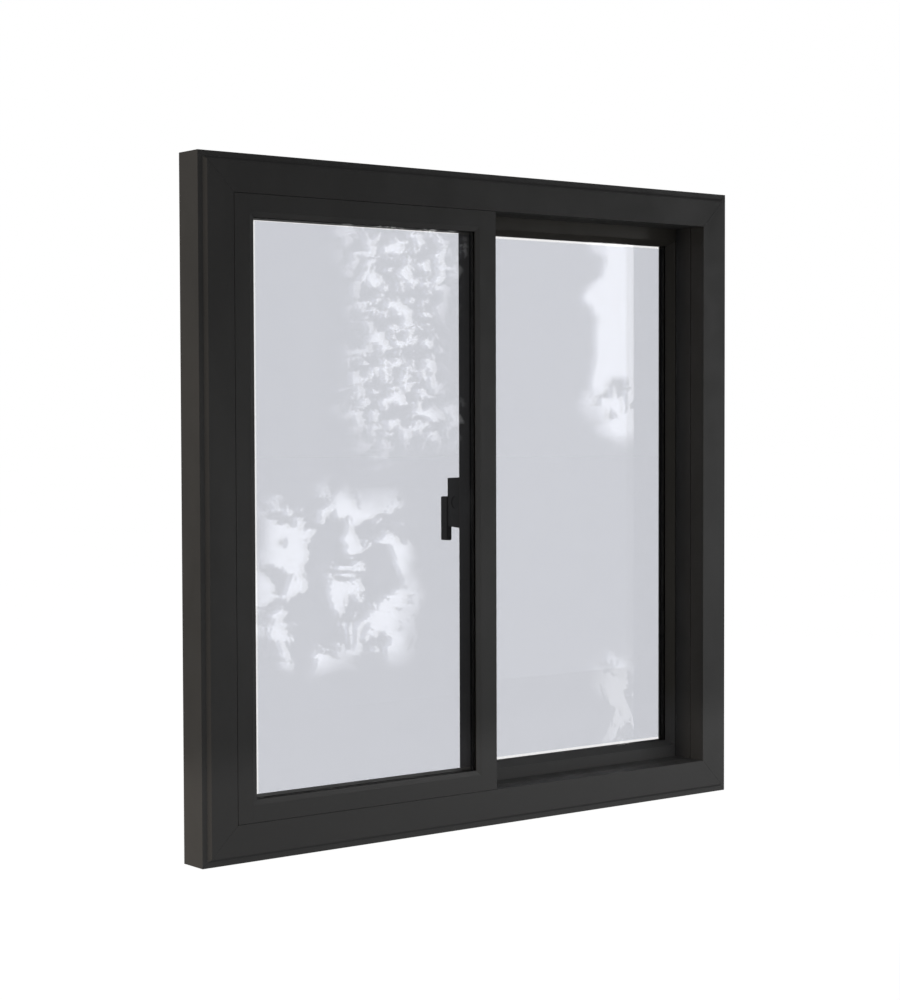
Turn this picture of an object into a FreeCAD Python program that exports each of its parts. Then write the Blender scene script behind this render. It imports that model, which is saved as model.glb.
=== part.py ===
"""Two-lite horizontal sliding window with an exterior casing, as a parametric assembly.

Frame of the part: X runs across the window, +Y points into the room, +Z is up.
The origin is the bottom centre of the casing on the wall plane, which the back edge
of the casing touches.  All sizes are millimetres and live in the sheet called Sizes.
Depths in the profiles are counted inwards from the exterior face of the casing.
"""
import FreeCAD
import Part
import Sketcher
import os

doc = FreeCAD.newDocument("sliding_window")
sheet = doc.addObject("Spreadsheet::Sheet", "Sizes")


class Size:
    """A length that knows both its expression in the sheet and its value."""

    def __init__(self, text, value):
        self.text = text
        self.value = float(value)

    def join(self, sign, other, value):
        text = other.text if isinstance(other, Size) else repr(float(other))
        return Size("(%s %s %s)" % (self.text, sign, text), value)

    def __add__(self, other):
        return self.join("+", other, self.value + number(other))

    def __sub__(self, other):
        return self.join("-", other, self.value - number(other))

    def __mul__(self, other):
        return self.join("*", other, self.value * number(other))

    def __truediv__(self, other):
        return self.join("/", other, self.value / number(other))

    def __neg__(self):
        return Size("(0 - %s)" % self.text, -self.value)


def number(thing):
    """The plain value of a Size or of a number."""
    return thing.value if isinstance(thing, Size) else float(thing)


def bind(thing, path, length):
    """Ties a property of an object to a length, or sets it when the length is a plain number."""
    if isinstance(length, Size):
        thing.setExpression(path, length.text)


rows = []


def size(alias, value, note):
    """Writes one driving dimension into the sheet and returns it."""
    rows.append(alias)
    line = len(rows)
    sheet.set("A%d" % line, note)
    sheet.set("B%d" % line, str(value))
    sheet.setAlias("B%d" % line, alias)
    return Size("Sizes.%s" % alias, value)


ZERO = Size("0", 0)
OVERCUT = 1                                         # a cutting shape past what it cuts

# ---------------------------------------------------------------- driving dimensions
width = size("width", 940, "overall width of the casing")
height = size("height", 914, "overall height of the casing")

casing_face = size("casing_face", 50.8, "width of the casing, outer edge to sight line")
casing_depth = size("casing_depth", 50, "casing front to wall plane")
casing_reveal = size("casing_reveal", 27.5, "depth of the casing's inner leg")
casing_wall = size("casing_wall", 2.5, "casing wall thickness")
ledge_width = size("ledge_width", 7.4, "low ledge round the outside of the casing")
ledge_drop = size("ledge_drop", 5, "how far the ledge sits behind the casing face")
cove_width = size("cove_width", 3.8, "width of the slope between ledge and face")
rib_short = size("rib_short", 4, "snap rib short of the wall plane")
rib_thickness = size("rib_thickness", 2, "snap rib behind the casing face")
casing_gap = size("casing_gap", 1, "shadow groove between casing and frame")

frame_inset = size("frame_inset", 31, "outer edge of the casing to the outside of the frame")
back_leg = size("back_leg", 4.5, "thickness of the frame's interior leg")
frame_web = size("frame_web", 4.8, "web at the bottom of the sash channel")
frame_wall = size("frame_wall", 2.5, "wall of the hollow front leg")

fixed_depth = size("fixed_depth", 40, "depth of the fixed sash")
fixed_face = size("fixed_face", 22.3, "flat width of the fixed rails and side stile")
meeting_face = size("meeting_face", 28.3, "flat width of the fixed meeting stile")
meeting_offset = size("meeting_offset", 12, "meeting stile edge, past the window centre")
joint_inset = size("joint_inset", 2, "sealed joint behind the faces beside it")
fixed_gap = size("fixed_gap", 0.6, "sealed joint round the fixed sash")
profile_wall = size("profile_wall", 2.2, "wall of the sash profiles")
port_start = size("port_start", 1, "glazing rebate to the screw port")
port_width = size("port_width", 8, "solid band that holds the corner screws")

bead_width = size("bead_width", 7.3, "visible width of a glazing bead")
bead_tip = size("bead_tip", 1.7, "thickness of a bead at the glass")
bead_flat = size("bead_flat", 0.6, "flat at the front edge of a bead")
bead_leg = size("bead_leg", 2, "thickness of the leg that holds a bead")
bead_grip = size("bead_grip", 6, "how far the bead leg reaches behind its tip")
fixed_bead_drop = size("fixed_bead_drop", 1.7, "slope of the fixed beads")
sash_bead_drop = size("sash_bead_drop", 13, "slope of the sliding sash's beads")
tape = size("tape", 0.9, "glazing tape between bead and glass")
gasket = size("gasket", 1.4, "gasket behind the glass")

pane = size("pane", 3, "thickness of one glass pane")
pane_gap = size("pane_gap", 6.5, "space between the panes")
glass_bite = size("glass_bite", 5.2, "how far the glass reaches under the bead")
spacer_width = size("spacer_width", 4, "width of the spacer bar between the panes")
spacer_edge = size("spacer_edge", 1, "sealant outside the spacer bar")
tape_short = size("tape_short", 1, "tape short of the bead's sight line")
block_length = size("block_length", 80, "length of a setting block")

sash_depth = size("sash_depth", 32, "depth of the sliding sash")
sash_gap_front = size("sash_gap_front", 1.5, "frame leg to the front of the sliding sash")
sash_gap_back = size("sash_gap_back", 2, "back of the sliding sash to the interior leg")
sash_rail_face = size("sash_rail_face", 30, "flat width of the sliding sash's rails")
sash_meeting_face = size("sash_meeting_face", 32.7, "flat width of its meeting stile")
sash_side_face = size("sash_side_face", 13.5, "flat width of its side stile")
sash_low_gap = size("sash_low_gap", 1.7, "sill web to the bottom of the sliding sash")
sash_top_gap = size("sash_top_gap", 3, "top of the sliding sash to the head web")
sash_side_gap = size("sash_side_gap", 1.5, "jamb web to the sliding sash when shut")
meeting_step = size("meeting_step", 5.5, "fixed meeting stile edge to the sliding one")
wheel_headroom = size("wheel_headroom", 1.45, "top of a roller to the top of its channel")

track_width = size("track_width", 3, "width of the track fin")
track_height = size("track_height", 6, "height of the track fin")
track_base = size("track_base", 12, "width of the track's foot")
notch_above = size("notch_above", 1, "notches above the track fin")
track_foot = size("track_foot", 1.5, "thickness of the track's foot")
track_side_gap = size("track_side_gap", 2, "clearance beside the track fin in the notches")

wheel_radius = size("wheel_radius", 6, "roller radius at the bottom of its groove")
wheel_flange = size("wheel_flange", 1.2, "height of the roller's flanges")
wheel_width = size("wheel_width", 7, "width of a roller")
wheel_clearance = size("wheel_clearance", 0.05, "roller above the track")
axle_radius = size("axle_radius", 2, "radius of a roller axle")
running_fit = size("running_fit", 0.05, "radial clearance of a running fit")
housing_length = size("housing_length", 44, "length of a roller housing")
housing_rise = size("housing_rise", 1, "bottom of the rail to its roller housing")
housing_top_gap = size("housing_top_gap", 0.2, "roller housing to the top of its channel")
housing_room = size("housing_room", 1.2, "housing round the wheel's rim")
housing_side_room = size("housing_side_room", 0.6, "housing beside the wheel")
axle_short = size("axle_short", 0.5, "axle end inside its housing")
groove_side_gap = size("groove_side_gap", 0.4, "side clearance of the wheel's groove")
housing_width = size("housing_width", 24, "width of a roller housing")
roller_inset = size("roller_inset", 62, "end of the sash to the roller axle")

interlock_wall = size("interlock_wall", 2, "thickness of the interlock strips")
hook_gap = size("hook_gap", 5.5, "fixed hook to the front of the sliding sash")
interlock_hook = size("interlock_hook", 5.5, "length of the fixed interlock hook")
interlock_air = size("interlock_air", 4, "air between the two interlock hooks")
interlock_side = size("interlock_side", 2.5, "side clearance of the interlock hooks")
interlock_end = size("interlock_end", 3, "retaining angle to the ends of the interlocks")
interlock_tip = size("interlock_tip", 0.5, "further clearance at the sash hook's tip")
plate_clear = size("plate_clear", 1.5, "sash interlock plate to the lock spindle")
plate_edge = size("plate_edge", 0.1, "screw head to the edge of that plate")
gate_gap = size("gate_gap", 0.5, "gate for the cam behind the interlock's flange")
interlock_past = size("interlock_past", 4, "fixed interlock leg past the meeting stile")

stop_leg = size("stop_leg", 9, "height of the retaining angle behind the fixed sash")
stop_foot = size("stop_foot", 14, "foot of the retaining angle on the frame")
stop_screw_at = size("stop_screw_at", 8.4, "front of the retaining angle to its screws")
stop_margin = size("stop_margin", 5.7, "retaining angle to the sash channel")
stop_wall = size("stop_wall", 2, "thickness of the retaining angle")

bumper_length = size("bumper_length", 45, "rubber bumper in the left jamb")
bumper_width = size("bumper_width", 16, "depth of a bumper across the channel")
bumper_height = size("bumper_height", 30, "height of a bumper")
bumper_gap = size("bumper_gap", 0.7, "bumpers to the fully open sash")
bumper_inset = size("bumper_inset", 120, "bumper centre from the end of the casing")

lock_height = size("lock_height", 453, "axis of the lock above the bottom of the casing")
lock_inset = size("lock_inset", 12, "axis of the lock from the edge of its stile")
base_width = size("base_width", 23, "width of the lock base")
base_height = size("base_height", 73, "height of the lock base")
base_depth = size("base_depth", 29.5, "projection of the lock base")
base_screw_room = size("base_screw_room", 0.3, "radial room round the base's screw heads")
spindle_room = size("spindle_room", 0.6, "radial room of the spindle in the stile")
dish_at = size("dish_at", 10.8, "back of the sash to the middle of the dish")
base_draft = size("base_draft", 3, "draft of the lock base in degrees")
base_fix = size("base_fix", 27, "lock axis to the base's fixing screws")
dish_radius = size("dish_radius", 9.5, "radius of the finger dish in the lock base")
dish_depth = size("dish_depth", 2, "depth of the finger dish")
lever_width = size("lever_width", 9, "width of the lever's blade")
lever_left = size("lever_left", 11.5, "lock axis to the blade's far side")
lever_right = size("lever_right", 7.5, "lock axis to the near side of the lever's hub")
lever_hub = size("lever_hub", 9, "lever's hub below the lock axis")
lever_thick = size("lever_thick", 13.2, "thickness of the lever")
lever_above = size("lever_above", 8, "lever above the lock axis")
lever_below = size("lever_below", 55.5, "lever below the lock axis")
lever_gap = size("lever_gap", 0.4, "lever to the lock base")
lever_corner = size("lever_corner", 1.6, "bevel at the lever's corners")
spindle_seat = size("spindle_seat", 7.8, "spindle inside the lever")
lever_round = size("lever_round", 0.7, "rounding of the lever's edges")
spindle_radius = size("spindle_radius", 4, "radius of the lock spindle")
cam_thick = size("cam_thick", 4, "thickness of the cam")
cam_reach = size("cam_reach", 20, "length of the cam's arm from the lock axis")
cam_width = size("cam_width", 8, "width of the cam's arm")
cam_nose = size("cam_nose", 2, "bevel at the end of the cam")
cam_hub = size("cam_hub", 6.5, "radius of the cam's hub")
cam_front = size("cam_front", 8.5, "cam back to the sash front")
keeper_gap = size("keeper_gap", 1, "keeper to the turned cam")
keeper_height = size("keeper_height", 16, "height of the keeper")
keeper_drop = size("keeper_drop", 9, "lock axis to the top of the keeper")
keeper_screw_at = size("keeper_screw_at", 5, "front of the keeper to its screws")
keeper_depth = size("keeper_depth", 12, "depth of the keeper")

screw_radius = size("screw_radius", 1.9, "screw shank")
screw_head = size("screw_head", 3.4, "screw head radius")
screw_head_height = size("screw_head_height", 1.8, "screw head height")
head_fit = size("head_fit", 0.2, "radial clearance of a sunk screw head")
head_cover = size("head_cover", 0.4, "depth of a sunk head below the surface")
screw_fit = size("screw_fit", 0.06, "radial clearance round a screw shank")
trim_length = size("trim_length", 9, "length of the hardware screws")
corner_bite = size("corner_bite", 22, "corner screw inside the rail")
base_screw_length = size("base_screw_length", 14, "length of the lock base screws")
base_screw_seat = size("base_screw_seat", 6, "lock base left under its screw heads")

key_arm = size("key_arm", 60, "arm of a corner key")
key_plate = size("key_plate", 3, "thickness of a casing key")
key_clearance = size("key_clearance", 0.3, "clearance round a corner key")
pile_height = size("pile_height", 1.2, "height of the pile strips on the frame")
pile_width = size("pile_width", 6, "width of the pile strips")
pile_inset = size("pile_inset", 2.4, "pile strip from the bottom of the channel")
pile_end = size("pile_end", 1, "pile strip short of what it ends at")
hook_pile_start = size("hook_pile_start", 0.5, "free edge of the hook to its pile")
pile_clearance = size("pile_clearance", 0.3, "pile to the strip that it wipes")

install_radius = size("install_radius", 2.6, "radius of the installation holes in the jambs")
install_spacing = size("install_spacing", 600, "installation holes, top to bottom")

doc.recompute()

# ---------------------------------------------------------------- places worked out
face_y = -casing_depth                              # exterior face of the casing
frame_front = face_y + casing_reveal + casing_gap
channel = sash_gap_front + sash_depth + sash_gap_back
stop_front = face_y + fixed_depth + key_clearance
front_leg = stop_front + stop_foot + stop_margin - frame_front
frame_depth = front_leg + channel + back_leg
leg_height = casing_face - frame_inset              # frame edge to the sight line
wheel_rise = track_height + wheel_clearance + wheel_radius   # sill web to a roller's axis
outer_radius = wheel_radius + wheel_flange
rail_cavity = wheel_rise + outer_radius + wheel_headroom - sash_low_gap
channel_front = frame_front + front_leg
sash_front = channel_front + sash_gap_front
sash_back = sash_front + sash_depth
sash_mid = sash_front + sash_depth / 2

half = width / 2
web_side = frame_inset + frame_web                  # casing edge to the channel's web

glass_unit = pane * 2 + pane_gap
fixed_glass_at = fixed_bead_drop + bead_tip + tape   # depth of the glass in its sash
sash_glass_at = sash_bead_drop + bead_tip + tape
fixed_rebate = fixed_glass_at + glass_unit + gasket
sash_rebate = sash_glass_at + glass_unit + gasket


class Ring:
    """A rectangle in the plane of the window, given by its edges."""

    def __init__(self, left, right, low, high):
        self.left, self.right, self.low, self.high = left, right, low, high

    def inset(self, by):
        return Ring(self.left + by, self.right - by, self.low + by, self.high - by)

    def inner(self, left, right, low, high):
        return Ring(self.left + left, self.right - right, self.low + low, self.high - high)

    def wide(self):
        return self.right - self.left

    def tall(self):
        return self.high - self.low


casing_ring = Ring(-half, half, ZERO, height)
frame_ring = casing_ring.inset(frame_inset)
sight_ring = casing_ring.inset(casing_face)
web_ring = casing_ring.inset(web_side)
meeting_edge = meeting_offset                       # right edge of the fixed meeting stile
fixed_ring = Ring(sight_ring.left + fixed_gap, meeting_edge,
                  sight_ring.low + fixed_gap, sight_ring.high - fixed_gap)
fixed_daylight = fixed_ring.inner(fixed_face, meeting_face, fixed_face, fixed_face)
sash_ring = Ring(meeting_edge + meeting_step, web_ring.right - sash_side_gap,
                 web_ring.low + sash_low_gap, web_ring.high - sash_top_gap)
sash_daylight = sash_ring.inner(sash_meeting_face, sash_side_face,
                                sash_rail_face, sash_rail_face)

lock_x = sash_ring.left + lock_inset
cam_back = sash_front - cam_front
sash_travel = sash_ring.left - web_ring.left - bumper_length - bumper_gap

nodes = {}


# ---------------------------------------------------------------- modelling helpers
def plane_of(body, role):
    return [item for item in body.Origin.OriginFeatures if item.Role == role][0]


def new_body(label):
    body = doc.addObject("PartDesign::Body", label)
    body.Label = label
    return body


def new_sketch(body, role, offset=None):
    sketch = body.newObject("Sketcher::SketchObject", body.Name + "_sketch")
    sketch.AttachmentSupport = [(plane_of(body, role), "")]
    sketch.MapMode = "FlatFace"
    if offset is not None:
        sketch.AttachmentOffset = FreeCAD.Placement(
            FreeCAD.Vector(0, 0, number(offset)), FreeCAD.Rotation())
        bind(sketch, "AttachmentOffset.Base.z", offset)
    return sketch


def fix_point(sketch, line, position, x, y):
    """Dimensions one point of a sketch from the sketch's origin."""
    for kind, length in (("DistanceX", x), ("DistanceY", y)):
        index = sketch.addConstraint(
            Sketcher.Constraint(kind, -1, 1, line, position, number(length)))
        bind(sketch, "Constraints[%d]" % index, length)


def add_outline(sketch, points):
    """Adds a closed outline of straight lines, fully dimensioned."""
    first = sketch.GeometryCount
    count = len(points)
    for index, (x, y) in enumerate(points):
        next_x, next_y = points[(index + 1) % count]
        sketch.addGeometry(Part.LineSegment(
            FreeCAD.Vector(number(x), number(y), 0),
            FreeCAD.Vector(number(next_x), number(next_y), 0)))
    for index in range(count):
        sketch.addConstraint(Sketcher.Constraint(
            "Coincident", first + index, 2, first + (index + 1) % count, 1))
    for index, (x, y) in enumerate(points):
        fix_point(sketch, first + index, 1, x, y)


def add_circle(sketch, x, y, radius):
    index = sketch.addGeometry(Part.Circle(
        FreeCAD.Vector(number(x), number(y), 0), FreeCAD.Vector(0, 0, 1), number(radius)))
    ring = sketch.addConstraint(Sketcher.Constraint("Radius", index, number(radius)))
    bind(sketch, "Constraints[%d]" % ring, radius)
    fix_point(sketch, index, 3, x, y)


def add_pad(body, sketch, length):
    pad = body.newObject("PartDesign::Pad", body.Name + "_pad")
    pad.Profile = sketch
    pad.Length = number(length)
    bind(pad, "Length", length)
    return pad


def cut_through(body, sketch):
    """Cuts a sketch through the whole body, to both sides of its plane."""
    pocket = body.newObject("PartDesign::Pocket", body.Name + "_cut")
    pocket.Profile = sketch
    pocket.SideType = "Symmetric"
    pocket.Type = "ThroughAll"
    return pocket


def cut_about(body, sketch, length):
    """Cuts a sketch over a length that is centred on its plane."""
    pocket = body.newObject("PartDesign::Pocket", body.Name + "_cut")
    pocket.Profile = sketch
    pocket.SideType = "Symmetric"
    pocket.Length = number(length)
    bind(pocket, "Length", length)
    return pocket


def place(thing, x, y, z, axis=(0, 1, 0), angle=0):
    """Places an object by its origin, with each coordinate tied to the sheet."""
    thing.Placement = FreeCAD.Placement(
        FreeCAD.Vector(number(x), number(y), number(z)),
        FreeCAD.Rotation(FreeCAD.Vector(*axis), angle))
    for name, length in (("x", x), ("y", y), ("z", z)):
        bind(thing, "Placement.Base." + name, length)


def side_place(side, ring, start, end):
    """Angle, corner and length of a member that runs along one side of a ring.

    In a member's own frame X points from the outer edge inwards, Y into the room
    and Z along the member."""
    if side == "left":
        return 0, ring.left, ring.low + start, ring.tall() - start - end
    if side == "right":
        return 180, ring.right, ring.high - start, ring.tall() - start - end
    if side == "head":
        return 90, ring.left + start, ring.high, ring.wide() - start - end
    return -90, ring.right - start, ring.low, ring.wide() - start - end


def member(label, side, ring, front, outlines, start=ZERO, end=ZERO, mitre=None):
    """An extruded profile along one side of a ring, square or mitred at its ends."""
    body = new_body(label)
    angle, x, z, length = side_place(side, ring, start, end)
    sketch = new_sketch(body, "XY_Plane")
    for outline in outlines:
        add_outline(sketch, outline)
    add_pad(body, sketch, length)
    if mitre is not None:
        ends = new_sketch(body, "XZ_Plane")
        reach = mitre + OVERCUT
        add_outline(ends, [(-OVERCUT, -OVERCUT), (reach, -OVERCUT), (reach, reach)])
        add_outline(ends, [(-OVERCUT, length + OVERCUT), (reach, length - reach), (reach, length + OVERCUT)])
        cut_through(body, ends)
    place(body, x, front, z, angle=angle)
    nodes[label] = body
    return body, length


def round_holes(body, role, centres, radius, middle, length):
    """Drills a row of holes centred on a plane that is offset from an origin plane."""
    sketch = new_sketch(body, role, middle)
    for x, y in centres:
        add_circle(sketch, x, y, radius)
    cut_about(body, sketch, length)


def box(label, x0, x1, y0, y1, z0, z1):
    """A Part box between two corners."""
    solid = doc.addObject("Part::Box", label)
    solid.Label = label
    for name, length in (("Length", x1 - x0), ("Width", y1 - y0), ("Height", z1 - z0)):
        setattr(solid, name, number(length))
        bind(solid, name, length)
    place(solid, x0, y0, z0)
    return solid


def cylinder_y(label, radius, x, y0, y1, z):
    """A Part cylinder that lies along Y."""
    solid = doc.addObject("Part::Cylinder", label)
    solid.Label = label
    solid.Radius = number(radius)
    bind(solid, "Radius", radius)
    solid.Height = number(y1 - y0)
    bind(solid, "Height", y1 - y0)
    place(solid, x, y0, z, axis=(1, 0, 0), angle=-90)
    return solid


def cut(label, base, tools):
    """Cuts a list of tools from a base, one after the other."""
    for index, tool in enumerate(tools):
        result = doc.addObject("Part::Cut", "%s_cut%d" % (label, index))
        result.Base = base
        result.Tool = tool
        base = result
    base.Label = label
    return base


def ring_solid(label, ring, band, y0, y1):
    """A rectangular ring of square section inside the given edges."""
    inside = ring.inset(band)
    outer = box(label + "_outer", ring.left, ring.right, y0, y1, ring.low, ring.high)
    inner = box(label + "_inner", inside.left, inside.right, y0 - OVERCUT, y1 + OVERCUT,
                inside.low, inside.high)
    return cut(label + "_ring", outer, [inner])


def group(label, solids):
    """Joins like pieces in one node as separate solids."""
    compound = doc.addObject("Part::Compound", label)
    compound.Label = label
    compound.Links = solids
    nodes[label] = compound
    return compound


def copy_at(master, name, x, y, z, axis=(0, 1, 0), angle=0):
    link = doc.addObject("App::Link", name)
    link.LinkedObject = master
    place(link, x, y, z, axis, angle)
    return link


# ---------------------------------------------------------------- profiles
def casing_profile():
    """Channel with a low outer ledge, a slope up to the flat face and a snap rib."""
    face_start = ledge_width + cove_width
    rib_back = frame_inset - key_clearance
    rib_front = rib_back - rib_thickness
    wall = casing_wall
    return [[
        (ZERO, ledge_drop), (ledge_width, ledge_drop), (face_start, ZERO),
        (casing_face, ZERO), (casing_face, casing_reveal),
        (casing_face - wall, casing_reveal), (casing_face - wall, wall),
        (rib_back, wall), (rib_back, casing_depth - rib_short), (rib_front, casing_depth - rib_short),
        (rib_front, wall), (face_start, wall), (ledge_width, ledge_drop + wall),
        (wall, ledge_drop + wall), (wall, casing_depth), (ZERO, casing_depth)]]


def frame_profile():
    """Hollow front leg, web and interior leg, with the sash channel between them."""
    wall = frame_wall
    back = front_leg + channel
    outer = [
        (ZERO, ZERO), (leg_height, ZERO), (leg_height, front_leg),
        (frame_web, front_leg), (frame_web, back), (leg_height, back),
        (leg_height, frame_depth), (ZERO, frame_depth)]
    hollow = [
        (wall, wall), (leg_height - wall, wall),
        (leg_height - wall, front_leg - wall), (wall, front_leg - wall)]
    return [outer, hollow]


fixed_port = fixed_rebate + port_start                       # front of the screw port in the fixed sash
sash_port = sash_depth / 2 - port_width / 2          # and in the sliding sash


def fixed_profile(face):
    """Box with a full-depth glazing leg and two cells with a screw port between."""
    wall = profile_wall
    leg = face + bead_width
    after = fixed_port + port_width
    outer = [
        (ZERO, ZERO), (face, ZERO), (face, fixed_rebate), (leg, fixed_rebate),
        (leg, fixed_depth), (ZERO, fixed_depth)]
    front_cell = [
        (wall, wall), (face - wall, wall), (face - wall, fixed_port), (wall, fixed_port)]
    back_cell = [
        (wall, after), (leg - wall, after), (leg - wall, fixed_depth - wall),
        (wall, fixed_depth - wall)]
    return [outer, front_cell, back_cell]


def sash_outer(face):
    leg = face + bead_width
    return [
        (ZERO, ZERO), (face, ZERO), (face, sash_rebate), (leg, sash_rebate),
        (leg, sash_depth), (ZERO, sash_depth)]


def sash_cells(first, last):
    """The two cells of a sliding sash profile, between two distances from its edge."""
    wall = profile_wall
    after = sash_port + port_width
    return [
        [(first, wall), (last, wall), (last, sash_port), (first, sash_port)],
        [(first, after), (last, after), (last, sash_depth - wall),
         (first, sash_depth - wall)]]


def sash_stile_profile(face):
    return [sash_outer(face)] + sash_cells(profile_wall, face - profile_wall)


def sash_rail_profile():
    """Rail with an open channel along its outer edge for the track and the rollers."""
    wall = profile_wall
    outer = sash_outer(sash_rail_face) + [
        (ZERO, sash_depth - wall), (rail_cavity, sash_depth - wall),
        (rail_cavity, wall), (ZERO, wall)]
    return [outer] + sash_cells(rail_cavity + wall, sash_rail_face - wall)


def bead_profile(drop):
    """Bead with a sloping face, a tip against the glass and a holding leg."""
    tip = drop + bead_tip
    return [[
        (ZERO, ZERO), (bead_flat, ZERO), (bead_width, drop), (bead_width, tip),
        (bead_leg, tip), (bead_leg, tip + bead_grip), (ZERO, tip + bead_grip)]]


# ---------------------------------------------------------------- screws and keys
def screw_master(label, length):
    """Pan-head screw along Z with its head above the origin and a cross recess."""
    body = new_body(label)
    sketch = new_sketch(body, "XZ_Plane")
    point = screw_radius * 0.8
    add_outline(sketch, [
        (ZERO, -length), (screw_radius, point - length), (screw_radius, ZERO),
        (screw_head, ZERO), (screw_head, screw_head_height * 0.5),
        (screw_head * 0.6, screw_head_height), (ZERO, screw_head_height)])
    turn = body.newObject("PartDesign::Revolution", body.Name + "_turn")
    turn.Profile = sketch
    turn.ReferenceAxis = (sketch, ["V_Axis"])
    turn.Angle = 360
    cross = new_sketch(body, "XY_Plane", screw_head_height)
    arm = screw_head * 0.5
    slot = screw_head * 0.14
    add_outline(cross, [
        (arm, -slot), (arm, slot), (slot, slot), (slot, arm), (-slot, arm), (-slot, slot),
        (-arm, slot), (-arm, -slot), (-slot, -slot), (-slot, -arm), (slot, -arm),
        (slot, -slot)])
    cut_about(body, cross, screw_head_height)
    return body


def key_master(label, arm_width, thickness):
    """L-shaped corner key whose outer corner is at its origin."""
    body = new_body(label)
    sketch = new_sketch(body, "XZ_Plane")
    add_outline(sketch, [
        (ZERO, ZERO), (key_arm, ZERO), (key_arm, arm_width), (arm_width, arm_width),
        (arm_width, key_arm), (ZERO, key_arm)])
    pad = add_pad(body, sketch, thickness)
    pad.Reversed = True
    return body


def corner_keys(label, master, ring, front):
    """One key in each corner of a ring."""
    group(label, [
        copy_at(master, label + "_low_left", ring.left, front, ring.low),
        copy_at(master, label + "_high_left", ring.left, front, ring.high, angle=90),
        copy_at(master, label + "_high_right", ring.right, front, ring.high, angle=180),
        copy_at(master, label + "_low_right", ring.right, front, ring.low, angle=-90)])


trim_screw = screw_master("trim_screw_master", trim_length)
base_screw = screw_master("base_screw_master", base_screw_length)


def screws(label, master, places, axis, angle):
    """A node of identical screws, all pointing the same way."""
    group(label, screw_list(label, master, places, axis, angle))


def screw_list(label, master, places, axis, angle):
    return [copy_at(master, "%s_%d" % (label, index + 1), x, y, z, axis, angle)
            for index, (x, y, z) in enumerate(places)]


# Turns that send a screw's shank, which lies along -Z, the way that is named.
TOWARDS_ROOM = ((1, 0, 0), 90)
TOWARDS_STREET = ((1, 0, 0), -90)
TOWARDS_RIGHT = ((0, 1, 0), -90)
TOWARDS_LEFT = ((0, 1, 0), 90)
hole = screw_radius + screw_fit


# ---------------------------------------------------------------- casing
for side in ("head", "sill", "left", "right"):
    name = side if side in ("head", "sill") else "jamb_" + side
    member("casing_" + name, side, casing_ring, face_y, casing_profile(), mitre=casing_face)

casing_key = key_master(
    "casing_key_master",
    frame_inset - rib_thickness - casing_wall - key_clearance * 3, key_plate)
corner_keys("casing_corner_keys", casing_key,
            casing_ring.inset(casing_wall + key_clearance),
            face_y + ledge_drop + casing_wall + key_clearance)

# ---------------------------------------------------------------- frame
stop_points = 3                                     # screws in each retaining angle
stop_screw_depth = fixed_depth + key_clearance + stop_screw_at - casing_reveal - casing_gap
fixed_span = fixed_daylight.right - sight_ring.left - bead_width


def spread(length, count):
    """Even places along a length, half a step in from each end."""
    return [length * ((index + 0.5) / count) for index in range(count)]


for side in ("head", "sill", "left", "right"):
    name = side if side in ("head", "sill") else "jamb_" + side
    body, length = member("frame_" + name, side, frame_ring, frame_front, frame_profile(),
                          mitre=leg_height)
    if side in ("left", "right"):
        middle = length / 2
        spots = [(front_leg + channel / 2, middle - install_spacing / 2),
                 (front_leg + channel / 2, middle),
                 (front_leg + channel / 2, middle + install_spacing / 2)]
        round_holes(body, "YZ_Plane", spots, install_radius, frame_web / 2, frame_web + OVERCUT * 2)
    if side == "right":
        continue
    edge = leg_height
    run = {"head": fixed_span, "sill": fixed_span, "left": sight_ring.tall()}[side]
    along = spread(run, stop_points)
    if side == "sill":
        places = [(stop_screw_depth, length - edge - step) for step in along]
    else:
        places = [(stop_screw_depth, edge + step) for step in along]
    round_holes(body, "YZ_Plane", places, hole, leg_height - frame_wall / 2, frame_wall + OVERCUT)

frame_key = key_master("frame_key_master", leg_height - frame_wall * 2 - key_clearance * 2,
                       front_leg - frame_wall * 2 - key_clearance * 2)
corner_keys("frame_corner_keys", frame_key, frame_ring.inset(frame_wall + key_clearance),
            frame_front + frame_wall + key_clearance)


# ---------------------------------------------------------------- track and guide
def track(label, side):
    """Fin on a foot that stands on the channel's web between the jambs."""
    low = track_base / 2 - track_width / 2
    high = track_base / 2 + track_width / 2
    outline = [
        (ZERO, ZERO), (track_foot, ZERO), (track_foot, low), (track_height, low),
        (track_height, high), (track_foot, high), (track_foot, track_base),
        (ZERO, track_base)]
    member(label, side, web_ring, sash_mid - track_base / 2, [outline],
           start=key_clearance, end=key_clearance)


track("sill_track", "sill")
track("head_guide", "head")

# ---------------------------------------------------------------- fixed sash
def cope_ends(body, length, rebate, depth):
    """Cuts the back of a rail short at both ends, where the stiles' glazing legs pass."""
    ends = new_sketch(body, "YZ_Plane")
    for low, high in ((ZERO - OVERCUT, bead_width), (length - bead_width, length + OVERCUT)):
        add_outline(ends, [(rebate, low), (depth + OVERCUT, low), (depth + OVERCUT, high),
                           (rebate, high)])
    cut_through(body, ends)


def fixed_member(label, side, face):
    """Stiles run the full height; rails fit between them, coped over the glazing leg."""
    if side in ("left", "right"):
        return member(label, side, fixed_ring, face_y, fixed_profile(face))
    near, far = (fixed_face, meeting_face) if side == "head" else (meeting_face, fixed_face)
    body, length = member(label, side, fixed_ring, face_y, fixed_profile(face),
                          start=near, end=far)
    cope_ends(body, length, fixed_rebate, fixed_depth)
    return body, length


head_sink = screw_head_height + head_cover                  # recess for a corner screw's head
port_mid = fixed_port + port_width / 2
port_rise = rail_cavity + (sash_rail_face - rail_cavity) / 2


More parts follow.
